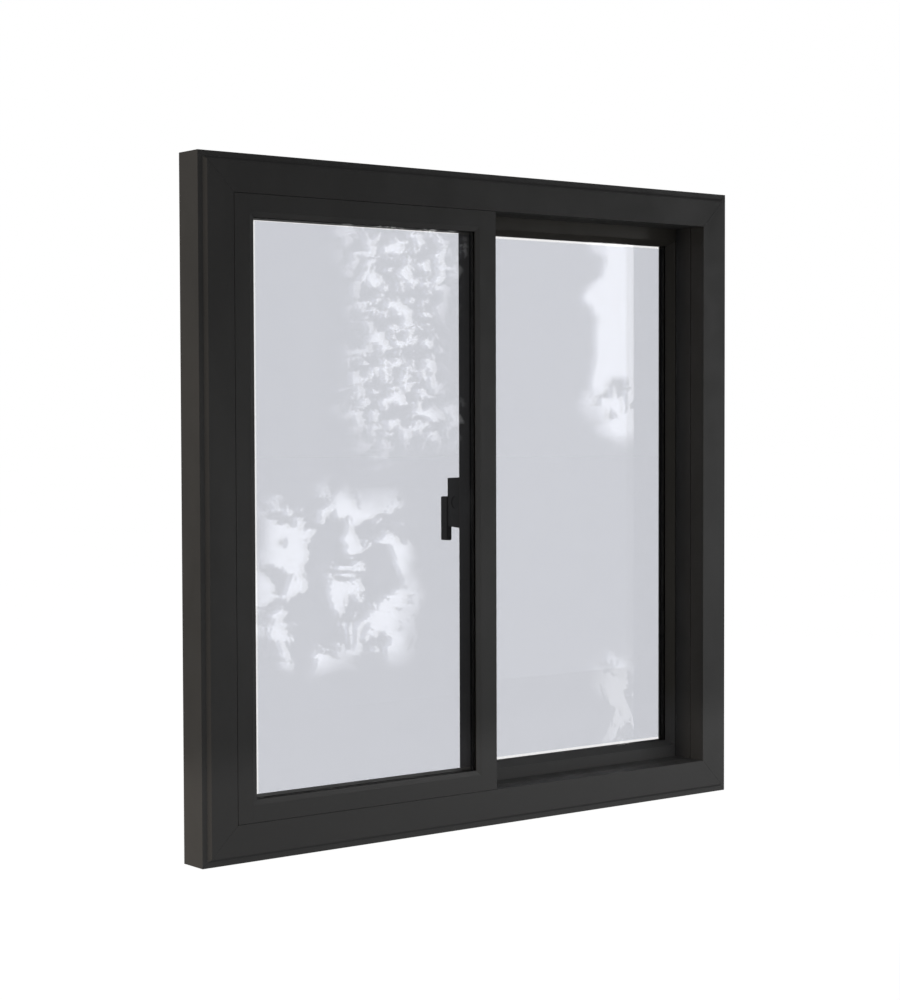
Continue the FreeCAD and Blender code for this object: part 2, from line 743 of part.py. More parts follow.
def drill_corner(body, depth, rise, length, through):
    """Clearance holes and head recesses for the corner screws at both ends of a stile."""
    spots = [(depth, rise), (depth, length - rise)]
    round_holes(body, "YZ_Plane", spots, hole, through / 2, through + OVERCUT * 2)
    round_holes(body, "YZ_Plane", spots, screw_head + head_fit, (head_sink - OVERCUT) / 2,
                head_sink + OVERCUT)


for label, side, face in (("fixed_side_stile", "left", fixed_face),
                          ("fixed_meeting_stile", "right", meeting_face)):
    body, length = fixed_member(label, side, face)
    drill_corner(body, port_mid, fixed_face / 2, length, face + bead_width)
    fixed_stile_body = body                          # the meeting stile comes last
for label, side in (("fixed_top_rail", "head"), ("fixed_bottom_rail", "sill")):
    body, length = fixed_member(label, side, fixed_face)
    for end in (ZERO, length):
        round_holes(body, "XY_Plane", [(fixed_face / 2, port_mid)], hole, end,
                    corner_bite * 2 + OVERCUT * 2)

# The corner screws start at the outer edge of each stile and end in the rail's port.
left_corner = screw_master("left_corner_screw_master", fixed_face - head_sink + corner_bite)
right_corner = screw_master("right_corner_screw_master",
                            meeting_face - head_sink + corner_bite)
levels = (fixed_ring.low + fixed_face / 2, fixed_ring.high - fixed_face / 2)
group("fixed_corner_screws",
      screw_list("fixed_corner_left", left_corner,
                 [(fixed_ring.left + head_sink, face_y + port_mid, z) for z in levels],
                 *TOWARDS_RIGHT) +
      screw_list("fixed_corner_right", right_corner,
                 [(fixed_ring.right - head_sink, face_y + port_mid, z) for z in levels],
                 *TOWARDS_LEFT))


def glazing(prefix, daylight, front, glass_at, drop):
    """Beads, double glass, spacer, tape, gasket and setting blocks of one sash."""
    names = {"head": "top", "sill": "bottom"}
    names.update({"left": "side", "right": "meeting"} if prefix == "fixed"
                 else {"left": "meeting", "right": "side"})
    for side in ("head", "sill", "left", "right"):
        member("%s_bead_%s" % (prefix, names[side]), side, daylight, front,
               bead_profile(drop), mitre=bead_width)
    glass = daylight.inset(bead_width - glass_bite)
    outer_at = front + glass_at
    inner_at = outer_at + pane + pane_gap
    for name, y in (("outer", outer_at), ("inner", inner_at)):
        label = "%s_glass_%s" % (prefix, name)
        nodes[label] = box(label, glass.left, glass.right, y, y + pane, glass.low, glass.high)
    label = prefix + "_spacer"
    spacer = ring_solid(label, glass.inset(spacer_edge), spacer_width,
                        outer_at + pane, inner_at)
    spacer.Label = label
    nodes[label] = spacer
    band = glass_bite - tape_short
    seals = [
        ring_solid(prefix + "_tape", glass, band, outer_at - tape, outer_at),
        ring_solid(prefix + "_gasket", glass, band, inner_at + pane, inner_at + pane + gasket)]
    block_front = front + drop + bead_tip + bead_grip + key_clearance
    blocks = []
    for index, share in enumerate((0.25, 0.75)):
        x = glass.left + glass.wide() * share
        blocks.append(box("%s_block_%d" % (prefix, index + 1),
                          x - block_length / 2, x + block_length / 2,
                          block_front, inner_at + pane, daylight.low, glass.low))
    return seals, blocks


fixed_seals, fixed_blocks = glazing("fixed", fixed_daylight, face_y, fixed_glass_at,
                                    fixed_bead_drop)

# Sealed joint between the fixed sash and the frame, behind the casing's groove.
joint_front = frame_front + joint_inset
joint_back = face_y + fixed_depth - joint_inset
joint_right = fixed_ring.right - joint_inset * 2
fixed_seals += [
    box("joint_left", sight_ring.left, fixed_ring.left, joint_front, joint_back,
        fixed_ring.low, fixed_ring.high),
    box("joint_low", sight_ring.left, joint_right, joint_front, joint_back,
        sight_ring.low, fixed_ring.low),
    box("joint_high", sight_ring.left, joint_right, joint_front, joint_back,
        fixed_ring.high, sight_ring.high)]
group("fixed_seals", fixed_seals)


# ---------------------------------------------------------------- retaining angles
stop_outline = [
    (ZERO, ZERO), (stop_leg, ZERO), (stop_leg, stop_wall), (stop_wall, stop_wall),
    (stop_wall, stop_foot), (ZERO, stop_foot)]
stop_ring = Ring(sight_ring.left, sight_ring.left + fixed_span, sight_ring.low,
                 sight_ring.high)
stop_screws = []
for name, side in (("head", "head"), ("sill", "sill"), ("jamb", "left")):
    trim = stop_leg + key_clearance if side == "left" else ZERO
    body, length = member("fixed_stop_" + name, side, stop_ring, stop_front,
                          [stop_outline], start=trim, end=trim)
    run = stop_ring.tall() if side == "left" else fixed_span
    steps = spread(run, stop_points)
    round_holes(body, "YZ_Plane", [(stop_screw_at, step - trim) for step in steps], hole,
                stop_wall / 2, stop_wall + OVERCUT)
    depth = stop_front + stop_screw_at
    if side == "left":
        stop_screws += screw_list(
            "stop_screw_jamb", trim_screw,
            [(stop_ring.left + stop_wall, depth, stop_ring.low + step) for step in steps],
            *TOWARDS_LEFT)
    elif side == "head":
        stop_screws += screw_list(
            "stop_screw_head", trim_screw,
            [(stop_ring.left + step, depth, stop_ring.high - stop_wall) for step in steps],
            (1, 0, 0), 180)
    else:
        stop_screws += screw_list(
            "stop_screw_sill", trim_screw,
            [(stop_ring.right - step, depth, stop_ring.low + stop_wall) for step in steps],
            (1, 0, 0), 0)
group("stop_screws", stop_screws)

# ---------------------------------------------------------------- sliding sash
notch_half = track_width / 2 + track_side_gap
notch_height = track_height + notch_above


def sash_stile(label, side, face):
    """Stile with a notch at each end where it runs over the track and the guide."""
    body, length = member(label, side, sash_ring, sash_front, sash_stile_profile(face))
    ends = new_sketch(body, "YZ_Plane")
    middle = sash_depth / 2
    for low, high in ((ZERO - OVERCUT, notch_height),
                      (length - notch_height, length + OVERCUT)):
        add_outline(ends, [(middle - notch_half, low), (middle + notch_half, low),
                           (middle + notch_half, high), (middle - notch_half, high)])
    cut_through(body, ends)
    drill_corner(body, sash_depth / 2, port_rise, length, face)
    return body


sash_stile("sash_side_stile", "right", sash_side_face)
meeting_stile = sash_stile("sash_meeting_stile", "left", sash_meeting_face)

for label, side in (("sash_top_rail", "head"), ("sash_bottom_rail", "sill")):
    near, far = ((sash_meeting_face, sash_side_face) if side == "head"
                 else (sash_side_face, sash_meeting_face))
    body, length = member(label, side, sash_ring, sash_front, sash_rail_profile(),
                          start=near, end=far)
    cope_ends(body, length, sash_rebate, sash_depth)
    for end in (ZERO, length):
        round_holes(body, "XY_Plane", [(port_rise, sash_depth / 2)], hole, end,
                    corner_bite * 2 + OVERCUT * 2)

side_corner = screw_master("side_corner_screw_master",
                           sash_side_face - head_sink + corner_bite)
meeting_corner = screw_master("meeting_corner_screw_master",
                              sash_meeting_face - head_sink + corner_bite)
levels = (sash_ring.low + port_rise, sash_ring.high - port_rise)
group("sash_corner_screws",
      screw_list("sash_corner_left", meeting_corner,
                 [(sash_ring.left + head_sink, sash_mid, z) for z in levels],
                 *TOWARDS_RIGHT) +
      screw_list("sash_corner_right", side_corner,
                 [(sash_ring.right - head_sink, sash_mid, z) for z in levels],
                 *TOWARDS_LEFT))

sash_seals, sash_blocks = glazing("sash", sash_daylight, sash_front, sash_glass_at,
                                  sash_bead_drop)
group("fixed_setting_blocks", fixed_blocks)
group("sash_setting_blocks", sash_blocks)

# ---------------------------------------------------------------- interlocks
fixed_flange = face_y + fixed_depth
leg_right = meeting_edge + interlock_past           # right side of the fixed leg
leg_left = leg_right - interlock_wall
hook_back = sash_front - hook_gap
interlock_low = sight_ring.low + stop_leg + interlock_end
interlock_high = sight_ring.high - stop_leg - interlock_end
flange_left = fixed_daylight.right

hook_left = leg_left - interlock_hook                # free end of the fixed hook
sash_leg_right = hook_left - interlock_side
sash_leg_left = sash_leg_right - interlock_wall
sash_hook_back = hook_back - interlock_wall - interlock_air
sash_plate_right = lock_x - spindle_radius - plate_clear


def strip(label, outline, low, high):
    """A strip along Z whose outline is given in the window's own X and Y."""
    body = new_body(label)
    add_outline(new_sketch(body, "XY_Plane"), outline)
    add_pad(body, body.Group[0], high - low)
    place(body, ZERO, ZERO, low)
    nodes[label] = body
    return body


fixed_interlock = strip("fixed_interlock", [
    (flange_left, fixed_flange), (leg_right, fixed_flange), (leg_right, hook_back),
    (hook_left, hook_back), (hook_left, hook_back - interlock_wall),
    (leg_left, hook_back - interlock_wall), (leg_left, fixed_flange + interlock_wall),
    (flange_left, fixed_flange + interlock_wall)], interlock_low, interlock_high)

sash_interlock = strip("sash_interlock", [
    (sash_leg_left, sash_front), (sash_leg_left, sash_hook_back - interlock_wall),
    (leg_left - interlock_side - interlock_tip, sash_hook_back - interlock_wall),
    (leg_left - interlock_side - interlock_tip, sash_hook_back), (sash_leg_right, sash_hook_back),
    (sash_leg_right, sash_front - interlock_wall),
    (sash_plate_right, sash_front - interlock_wall), (sash_plate_right, sash_front)],
    interlock_low, interlock_high)

# Window in the fixed leg that lets the hub and the arm of the cam through.
lock_rise = lock_height - interlock_low
gate = new_sketch(fixed_interlock, "YZ_Plane", leg_left)
add_outline(gate, [
    (fixed_flange + interlock_wall + gate_gap, lock_rise - keeper_drop),
    (hook_back + OVERCUT, lock_rise - keeper_drop), (hook_back + OVERCUT, lock_rise + keeper_drop),
    (fixed_flange + interlock_wall + gate_gap, lock_rise + keeper_drop)])
cut_about(fixed_interlock, gate, (interlock_hook + interlock_wall) * 2 + OVERCUT * 2)

interlock_levels = [interlock_low + (interlock_high - interlock_low) * share
                    for share in (0.08, 0.36, 0.64, 0.92)]
flange_mid = fixed_ring.right - meeting_face / 2
fixed_spots = [(flange_mid, level - interlock_low) for level in interlock_levels]
sash_screw_x = sash_plate_right - screw_head - plate_edge
sash_spots = [(sash_screw_x, level - interlock_low) for level in interlock_levels]
round_holes(fixed_interlock, "XZ_Plane", fixed_spots, hole,
            -(fixed_flange + interlock_wall / 2), interlock_wall + OVERCUT)
round_holes(sash_interlock, "XZ_Plane", sash_spots, hole,
            -(sash_front - interlock_wall / 2), interlock_wall + OVERCUT)

# Matching holes in the two meeting stiles, which carry the strips.
round_holes(fixed_stile_body, "XZ_Plane",
            [(meeting_face / 2, fixed_ring.high - level) for level in interlock_levels],
            hole, -(fixed_depth - profile_wall / 2), profile_wall + OVERCUT)
round_holes(meeting_stile, "XZ_Plane",
            [(sash_screw_x - sash_ring.left, level - sash_ring.low)
             for level in interlock_levels],
            hole, -(trim_length / 2), trim_length)

# ---------------------------------------------------------------- keeper
keeper_top = lock_height - keeper_drop
keeper_low = keeper_top - keeper_height
keeper_right = lock_x - cam_width / 2 - keeper_gap
keeper_back = hook_back
keeper_front = keeper_back - keeper_depth
keeper_screw_y = keeper_front + keeper_screw_at
keeper_levels = (keeper_low + keeper_height * 0.25, keeper_low + keeper_height * 0.75)
keeper_body = new_body("lock_keeper")
keeper_sketch = new_sketch(keeper_body, "XZ_Plane")
add_outline(keeper_sketch, [
    (ZERO, ZERO), (keeper_right - leg_right, ZERO),
    (keeper_right - leg_right, keeper_height), (ZERO, keeper_height)])
keeper_pad = add_pad(keeper_body, keeper_sketch, keeper_depth)
keeper_pad.Reversed = True
round_holes(keeper_body, "YZ_Plane",
            [(keeper_screw_at, keeper_height * 0.25),
             (keeper_screw_at, keeper_height * 0.75)],
            hole, (keeper_right - leg_right) / 2, keeper_right - leg_right + OVERCUT * 2)
place(keeper_body, leg_right, keeper_front, keeper_low)
nodes["lock_keeper"] = keeper_body
round_holes(fixed_interlock, "YZ_Plane",
            [(keeper_screw_y, level - interlock_low) for level in keeper_levels],
            hole, leg_right - interlock_wall / 2, interlock_wall + OVERCUT)

group("fixed_interlock_screws",
      screw_list("fixed_interlock_screw", trim_screw,
                 [(flange_mid, fixed_flange + interlock_wall, level)
                  for level in interlock_levels], *TOWARDS_STREET) +
      screw_list("keeper_screw", trim_screw,
                 [(leg_left, keeper_screw_y, level) for level in keeper_levels],
                 *TOWARDS_RIGHT))
screws("sash_interlock_screws", trim_screw,
       [(sash_screw_x, sash_front - interlock_wall, level) for level in interlock_levels],
       *TOWARDS_ROOM)

# ---------------------------------------------------------------- pile strips and bumpers
pile_low = web_ring.low + pile_inset
pile_high = web_ring.high - pile_inset
pile_back = channel_front + pile_height
group("weather_pile", [
    box("pile_low", web_ring.left + pile_end, web_ring.right - pile_end, channel_front, pile_back,
        pile_low, pile_low + pile_width),
    box("pile_high", web_ring.left + pile_end, web_ring.right - pile_end, channel_front, pile_back,
        pile_high - pile_width, pile_high),
    box("pile_side", web_ring.right - pile_inset - pile_width, web_ring.right - pile_inset,
        channel_front, pile_back, pile_low + pile_width + pile_end,
        pile_high - pile_width - pile_end)])
sash_seals.append(
    box("interlock_pile", hook_left + hook_pile_start, leg_left, hook_back + pile_clearance,
        sash_front - interlock_wall, interlock_low + pile_end, interlock_high - pile_end))
group("sash_seals", sash_seals)

group("sash_bumpers", [
    box("bumper_%d" % (index + 1), web_ring.left, web_ring.left + bumper_length,
        sash_mid - bumper_width / 2, sash_mid + bumper_width / 2,
        middle - bumper_height / 2, middle + bumper_height / 2)
    for index, middle in enumerate((bumper_inset, height - bumper_inset))])

# ---------------------------------------------------------------- rollers
wheel_z = web_ring.low + wheel_rise
wheel_places = {"left": sash_ring.left + roller_inset, "right": sash_ring.right - roller_inset}


def roller_wheel(label, x):
    """Grooved wheel that straddles the track fin."""
    body = new_body(label)
    edge = wheel_width / 2
    groove = track_width / 2 + groove_side_gap
    shoulder = groove + wheel_flange * 0.5
    bore = axle_radius + running_fit
    sketch = new_sketch(body, "XZ_Plane")
    add_outline(sketch, [
        (bore, -edge), (outer_radius, -edge), (outer_radius, -shoulder),
        (wheel_radius, -groove), (wheel_radius, groove), (outer_radius, shoulder),
        (outer_radius, edge), (bore, edge)])
    turn = body.newObject("PartDesign::Revolution", body.Name + "_turn")
    turn.Profile = sketch
    turn.ReferenceAxis = (sketch, ["V_Axis"])
    turn.Angle = 360
    place(body, x, sash_mid, wheel_z, axis=(1, 0, 0), angle=90)
    nodes[label] = body


housings = []
axles = []
for name, x in wheel_places.items():
    roller_wheel("roller_wheel_" + name, x)
    low = sash_ring.low + housing_rise
    high = sash_ring.low + rail_cavity - housing_top_gap
    block = box("housing_block_" + name, x - housing_length / 2, x + housing_length / 2,
                sash_mid - housing_width / 2, sash_mid + housing_width / 2, low, high)
    opening = outer_radius + housing_room
    slot_half = wheel_width / 2 + housing_side_room
    wheel_slot = box("housing_slot_" + name, x - opening, x + opening,
                     sash_mid - slot_half, sash_mid + slot_half, low - OVERCUT, high + OVERCUT)
    fin_slot = box("housing_fin_" + name, x - housing_length, x + housing_length,
                   sash_mid - notch_half, sash_mid + notch_half, low - OVERCUT,
                   web_ring.low + notch_height)
    bore = cylinder_y("housing_bore_" + name, axle_radius + running_fit, x,
                      sash_mid - housing_width, sash_mid + housing_width, wheel_z)
    housings.append(cut("housing_" + name, block, [wheel_slot, fin_slot, bore]))
    axles.append(cylinder_y("axle_" + name, axle_radius, x,
                            sash_mid - housing_width / 2 + axle_short,
                            sash_mid + housing_width / 2 - axle_short, wheel_z))
group("roller_housings", housings)
group("roller_axles", axles)

# ---------------------------------------------------------------- lock
base_body = new_body("lock_base")
base_sketch = new_sketch(base_body, "XZ_Plane")
add_outline(base_sketch, [
    (-(base_width / 2), -(base_height / 2)), (base_width / 2, -(base_height / 2)),
    (base_width / 2, base_height / 2), (-(base_width / 2), base_height / 2)])
base_pad = add_pad(base_body, base_sketch, base_depth)
base_pad.Reversed = True
base_pad.TaperAngle = -number(base_draft)
base_pad.setExpression("TaperAngle", "-Sizes.base_draft")
base_spots = [(ZERO, -base_fix), (ZERO, base_fix)]
round_holes(base_body, "XZ_Plane", [(ZERO, ZERO)], spindle_radius + running_fit,
            -(base_depth / 2), base_depth + OVERCUT * 2)
round_holes(base_body, "XZ_Plane", base_spots, hole, -(base_depth / 2), base_depth + OVERCUT * 2)
seat_room = base_depth - base_screw_seat
round_holes(base_body, "XZ_Plane", base_spots, screw_head + base_screw_room,
            -(base_screw_seat + (seat_room + OVERCUT) / 2), seat_room + OVERCUT)
for sign in (-1, 1):
    round_holes(base_body, "YZ_Plane", [(dish_at, ZERO)], dish_radius,
                base_width * (0.5 * sign), dish_depth * 2)
place(base_body, lock_x, sash_back, lock_height)
nodes["lock_base"] = base_body

round_holes(meeting_stile, "XZ_Plane", [(lock_inset, lock_height - sash_ring.low)],
            spindle_radius + spindle_room, -(sash_depth / 2), sash_depth + OVERCUT * 2)
round_holes(meeting_stile, "XZ_Plane",
            [(lock_inset, lock_height - sash_ring.low - base_fix),
             (lock_inset, lock_height - sash_ring.low + base_fix)],
            hole, -(sash_depth - profile_wall / 2), profile_wall + OVERCUT)
screws("lock_base_screws", base_screw,
       [(lock_x, sash_back + base_screw_seat, lock_height - base_fix),
        (lock_x, sash_back + base_screw_seat, lock_height + base_fix)],
       *TOWARDS_STREET)

lever_front = sash_back + base_depth + lever_gap
spindle_end = lever_front + spindle_seat
lever_body = new_body("lock_lever")
lever_sketch = new_sketch(lever_body, "XZ_Plane")
blade_right = lever_width - lever_left
add_outline(lever_sketch, [
    (-lever_left, lever_corner - lever_below), (lever_corner - lever_left, -lever_below),
    (blade_right - lever_corner, -lever_below), (blade_right, lever_corner - lever_below),
    (blade_right, -(lever_hub + lever_corner)), (blade_right + lever_corner, -lever_hub),
    (lever_right - lever_corner, -lever_hub), (lever_right, lever_corner - lever_hub),
    (lever_right, lever_above - lever_corner), (lever_right - lever_corner, lever_above),
    (lever_corner - lever_left, lever_above), (-lever_left, lever_above - lever_corner)])
lever_pad = add_pad(lever_body, lever_sketch, lever_thick)
lever_pad.Reversed = True
doc.recompute()
lever_fillet = lever_body.newObject("PartDesign::Fillet", "lock_lever_fillet")
lever_fillet.Base = (lever_pad, ["Edge%d" % (index + 1)
                                 for index in range(len(lever_pad.Shape.Edges))])
lever_fillet.Radius = number(lever_round)
bind(lever_fillet, "Radius", lever_round)
round_holes(lever_body, "XZ_Plane", [(ZERO, ZERO)], spindle_radius + running_fit,
            -(spindle_seat / 2 - OVERCUT), spindle_seat + OVERCUT * 2)
place(lever_body, lock_x, lever_front, lock_height)
nodes["lock_lever"] = lever_body

spindle = cylinder_y("lock_spindle", spindle_radius, lock_x, cam_back - cam_thick,
                     spindle_end, lock_height)
nodes["lock_spindle"] = spindle

cam_body = new_body("lock_cam")
cam_sketch = new_sketch(cam_body, "XZ_Plane")
cam_side = cam_width / 2
add_outline(cam_sketch, [
    (-(cam_hub * 0.4), -cam_hub), (cam_hub * 0.4, -cam_hub), (cam_hub, -cam_side),
    (cam_reach - cam_nose, -cam_side), (cam_reach, -cam_side + cam_nose),
    (cam_reach, cam_side - cam_nose),
    (cam_reach - cam_nose, cam_side), (cam_hub, cam_side), (cam_hub * 0.4, cam_hub),
    (-(cam_hub * 0.4), cam_hub), (-cam_hub, cam_hub * 0.4), (-cam_hub, -(cam_hub * 0.4))])
cam_pad = add_pad(cam_body, cam_sketch, cam_thick)
cam_pad.Reversed = True
round_holes(cam_body, "XZ_Plane", [(ZERO, ZERO)], spindle_radius + running_fit,
            -(cam_thick / 2), cam_thick + OVERCUT * 2)
place(cam_body, lock_x, cam_back - cam_thick, lock_height)
nodes["lock_cam"] = cam_body

# ---------------------------------------------------------------- check and write
doc.recompute()
for thing in doc.Objects:
    if "Invalid" in thing.State or "Error" in thing.State:
        raise RuntimeError("%s failed to compute: %s" % (thing.Label, thing.State))
os.makedirs("parts", exist_ok=True)
for label, thing in nodes.items():
    shape = thing.Shape
    if shape.isNull() or not shape.isValid() or not shape.Solids:
        raise RuntimeError("%s has no valid solid" % label)
for label, thing in nodes.items():
    thing.Shape.exportStep("parts/%s.step" % label)
    bounds = thing.Shape.BoundBox
    print("%-24s solids %2d  x %8.2f %8.2f  y %8.2f %8.2f  z %8.2f %8.2f" % (
        label, len(thing.Shape.Solids), bounds.XMin, bounds.XMax, bounds.YMin, bounds.YMax,
        bounds.ZMin, bounds.ZMax))
print("nodes", len(nodes), "sash travel %.3f" % sash_travel.value)
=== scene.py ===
"""Looks of a two-lite sliding window: coated casing and sashes, double glass, lever lock.

X runs across the window, +Y points into the room and +Z is up, in metres.
Every piece is made in place around the packed model and rides on one of its bodies.
"""
from math import radians

import bmesh
import bpy
from bpy.props import (FloatProperty, FloatVectorProperty, IntProperty, PointerProperty,
                       StringProperty)
from mathutils import Euler, Matrix, Vector


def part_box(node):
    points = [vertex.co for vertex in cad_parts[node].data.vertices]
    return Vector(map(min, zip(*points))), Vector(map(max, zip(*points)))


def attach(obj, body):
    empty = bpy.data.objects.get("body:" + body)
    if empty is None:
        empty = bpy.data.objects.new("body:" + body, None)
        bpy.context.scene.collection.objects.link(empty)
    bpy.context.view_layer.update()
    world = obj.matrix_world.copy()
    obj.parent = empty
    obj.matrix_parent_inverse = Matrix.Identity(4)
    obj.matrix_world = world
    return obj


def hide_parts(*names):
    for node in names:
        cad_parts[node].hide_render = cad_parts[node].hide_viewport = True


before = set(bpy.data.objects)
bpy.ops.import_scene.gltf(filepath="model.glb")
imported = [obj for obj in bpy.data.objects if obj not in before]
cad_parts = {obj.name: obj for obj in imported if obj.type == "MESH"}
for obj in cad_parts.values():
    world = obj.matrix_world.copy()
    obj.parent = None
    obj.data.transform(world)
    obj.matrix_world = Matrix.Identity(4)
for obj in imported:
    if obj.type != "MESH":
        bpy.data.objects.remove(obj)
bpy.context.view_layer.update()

bl_info = {
    "name": "Sliding window",
    "version": (1, 0, 0),
    "blender": (4, 5, 0),
    "location": "View3D > Sidebar > Window",
    "description": "Casing, sashes, double glass, rollers and lever lock of a sliding window",
    "category": "Object",
}

MM = 0.001
MIX_A, MIX_B, MIX_RESULT = 6, 7, 2      # sockets of a Mix node that mixes colours
WHITE = (1.0, 1.0, 1.0)
WARM = (1.0, 0.86, 0.7)


# ---- sizes and colours ----
class CasingSizes(bpy.types.PropertyGroup):
    """Exterior casing extrusion."""
    ledge: FloatProperty(name="Ledge", description="Width of the low outer ledge",
                         default=7.4 * MM, unit="LENGTH")
    ledge_drop: FloatProperty(name="Ledge drop", description="Ledge behind the face",
                              default=5 * MM, unit="LENGTH")
    cove: FloatProperty(name="Slope", description="Width of the slope up to the face",
                        default=3.8 * MM, unit="LENGTH")
    wall: FloatProperty(name="Wall", description="Wall of the extrusion",
                        default=2.5 * MM, unit="LENGTH")
    reveal: FloatProperty(name="Reveal", description="Depth of the inner leg",
                          default=27.5 * MM, unit="LENGTH")
    rib: FloatProperty(name="Rib", description="Outer edge to the front of the snap rib",
                       default=28.7 * MM, unit="LENGTH")
    rib_wall: FloatProperty(name="Rib wall", description="Thickness of the snap rib",
                            default=2 * MM, unit="LENGTH")
    rib_short: FloatProperty(name="Rib end", description="Snap rib short of the wall plane",
                             default=4 * MM, unit="LENGTH")
    rounding: FloatProperty(name="Edge radius", description="Radius of the coated edges",
                            default=0.3 * MM, unit="LENGTH")


class GlazingSizes(bpy.types.PropertyGroup):
    """Beads, glass and spacer bars."""
    bead: FloatProperty(name="Bead", description="Visible width of a bead",
                        default=7.3 * MM, unit="LENGTH")
    bead_flat: FloatProperty(name="Bead flat", description="Flat at the front of a bead",
                             default=0.6 * MM, unit="LENGTH")
    bead_tip: FloatProperty(name="Bead tip", description="Thickness of a bead at the glass",
                            default=1.7 * MM, unit="LENGTH")
    bead_leg: FloatProperty(name="Bead leg", description="Thickness of the holding leg",
                            default=2 * MM, unit="LENGTH")
    bead_grip: FloatProperty(name="Bead grip", description="Holding leg behind the tip",
                             default=6 * MM, unit="LENGTH")
    tape: FloatProperty(name="Tape", description="Glazing tape between bead and glass",
                        default=0.9 * MM, unit="LENGTH")
    arris: FloatProperty(name="Arris", description="Ground chamfer on a pane's edges",
                         default=0.5 * MM, unit="LENGTH")
    bite: FloatProperty(name="Bite", description="Glass hidden behind the beads",
                        default=5.2 * MM, unit="LENGTH")
    # painted highlight: the untinted glass strips past the beads make a thin bright line along
    # the pane edges
    highlight_side: FloatProperty(name="Clear side", description="Uncoated glass past the beads "
                              "at the sides and the top", default=4.4 * MM, unit="LENGTH")
    highlight_sill: FloatProperty(name="Clear sill", description="Uncoated glass past the bottom "
                              "bead", default=6.2 * MM, unit="LENGTH")
    spacer: FloatProperty(name="Spacer", description="Height of the spacer bar",
                          default=4 * MM, unit="LENGTH")
    seam: FloatProperty(name="Spacer seam", description="Depth of the spacer bar's seam",
                        default=0.3 * MM, unit="LENGTH")


class DetailSizes(bpy.types.PropertyGroup):
    """Rounded edges and the weather pile."""
    rounding: FloatProperty(name="Extrusion edge", description="Radius of extruded edges",
                            default=0.2 * MM, unit="LENGTH")
    track_rounding: FloatProperty(name="Track edge", description="Radius on track and guide",
                                  default=0.32 * MM, unit="LENGTH")
    fine_rounding: FloatProperty(name="Fine edge", description="Radius on thin strips",
                                 default=0.2 * MM, unit="LENGTH")
    moulded: FloatProperty(name="Moulded edge", description="Radius of moulded edges",
                           default=1.2 * MM, unit="LENGTH")
    tuft_pitch: FloatProperty(name="Tuft pitch", description="Spacing of the pile tufts",
                              default=3 * MM, unit="LENGTH")
    tuft_gap: FloatProperty(name="Tuft gap", description="Gap between two tufts",
                            default=0.4 * MM, unit="LENGTH")
    tuft_taper: FloatProperty(name="Tuft taper", description="Width of a tuft's tip against "
                              "its root", default=0.6)
    tuft_root: FloatProperty(name="Tuft root", description="Share of the backing that a tuft "
                             "sinks into", default=0.2)
    backing: FloatProperty(name="Backing", description="Share of the pile that is backing",
                           default=0.35)


class WheelSizes(bpy.types.PropertyGroup):
    """Turned rollers."""
    groove: FloatProperty(name="Groove", description="Half the width of the groove",
                          default=1.9 * MM, unit="LENGTH")
    flange: FloatProperty(name="Flange", description="Height of the flanges",
                          default=1.2 * MM, unit="LENGTH")
    bore: FloatProperty(name="Bore", description="Radius of the bore", default=2.05 * MM,
                        unit="LENGTH")
    hub: FloatProperty(name="Hub", description="Wall of the hub and of the rim",
                       default=1.1 * MM, unit="LENGTH")
    dish: FloatProperty(name="Dish", description="Depth of the sunk web", default=0.5 * MM,
                        unit="LENGTH")
    steps: IntProperty(name="Steps", description="Segments round a wheel", default=64, min=12)


class LockSizes(bpy.types.PropertyGroup):
    """Lever and base of the lock."""
    blade: FloatProperty(name="Blade", description="Width of the blade", default=9 * MM,
                         unit="LENGTH")
    hub: FloatProperty(name="Hub", description="Height of the hub", default=17 * MM,
                       unit="LENGTH")
    corner: FloatProperty(name="Corner", description="Bevel at the corners",
                          default=1.2 * MM, unit="LENGTH")
    rim: FloatProperty(name="Rim", description="Rim round the dished field",
                       default=1.5 * MM, unit="LENGTH")
    field: FloatProperty(name="Field", description="Depth of the dished field",
                         default=0.6 * MM, unit="LENGTH")
    edge: FloatProperty(name="Edge", description="Radius of the lever's cast edges",
                        default=0.45 * MM, unit="LENGTH")
    base_edge: FloatProperty(name="Base edge", description="Radius of the base's cast edges",
                             default=0.6 * MM, unit="LENGTH")


class Finishes(bpy.types.PropertyGroup):
    """Colours, as sRGB hex values, and the heights of the coat painted lighter low down as
    painted light.
    """
    coating: StringProperty(name="Coating", description="Casing and frame", default="333333")
    coating_worn: StringProperty(name="Coating, chalked", description="Casing and frame where "
                                 "weather has chalked it", default="383838")
    # painted light: a lighter coat low down on the casing and frame, standing in for the light
    # that falls on the lower faces
    painted_low_light: StringProperty(name="Coating, splashed", description="Casing and frame low down, "
                             "where rain splashes up", default="444444")
    sash: StringProperty(name="Sash", description="Sliding sash", default="34322E")
    sash_worn: StringProperty(name="Sash, chalked", description="Sliding sash where weather has "
                              "chalked it", default="383632")
    # painted light: heights where the lighter coat low down begins and where it is full
    low_light_top: FloatProperty(name="Splash top", description="Height where the splashed look "
                              "begins", default=170 * MM, unit="LENGTH")
    low_light_full: FloatProperty(name="Splash full", description="Height below which it is full",
                               default=90 * MM, unit="LENGTH")
    glass: StringProperty(name="Glass", description="Tint of the coated panes", default="DADCE3")
    enamel: StringProperty(name="Enamel", description="Lock furniture", default="12110E")


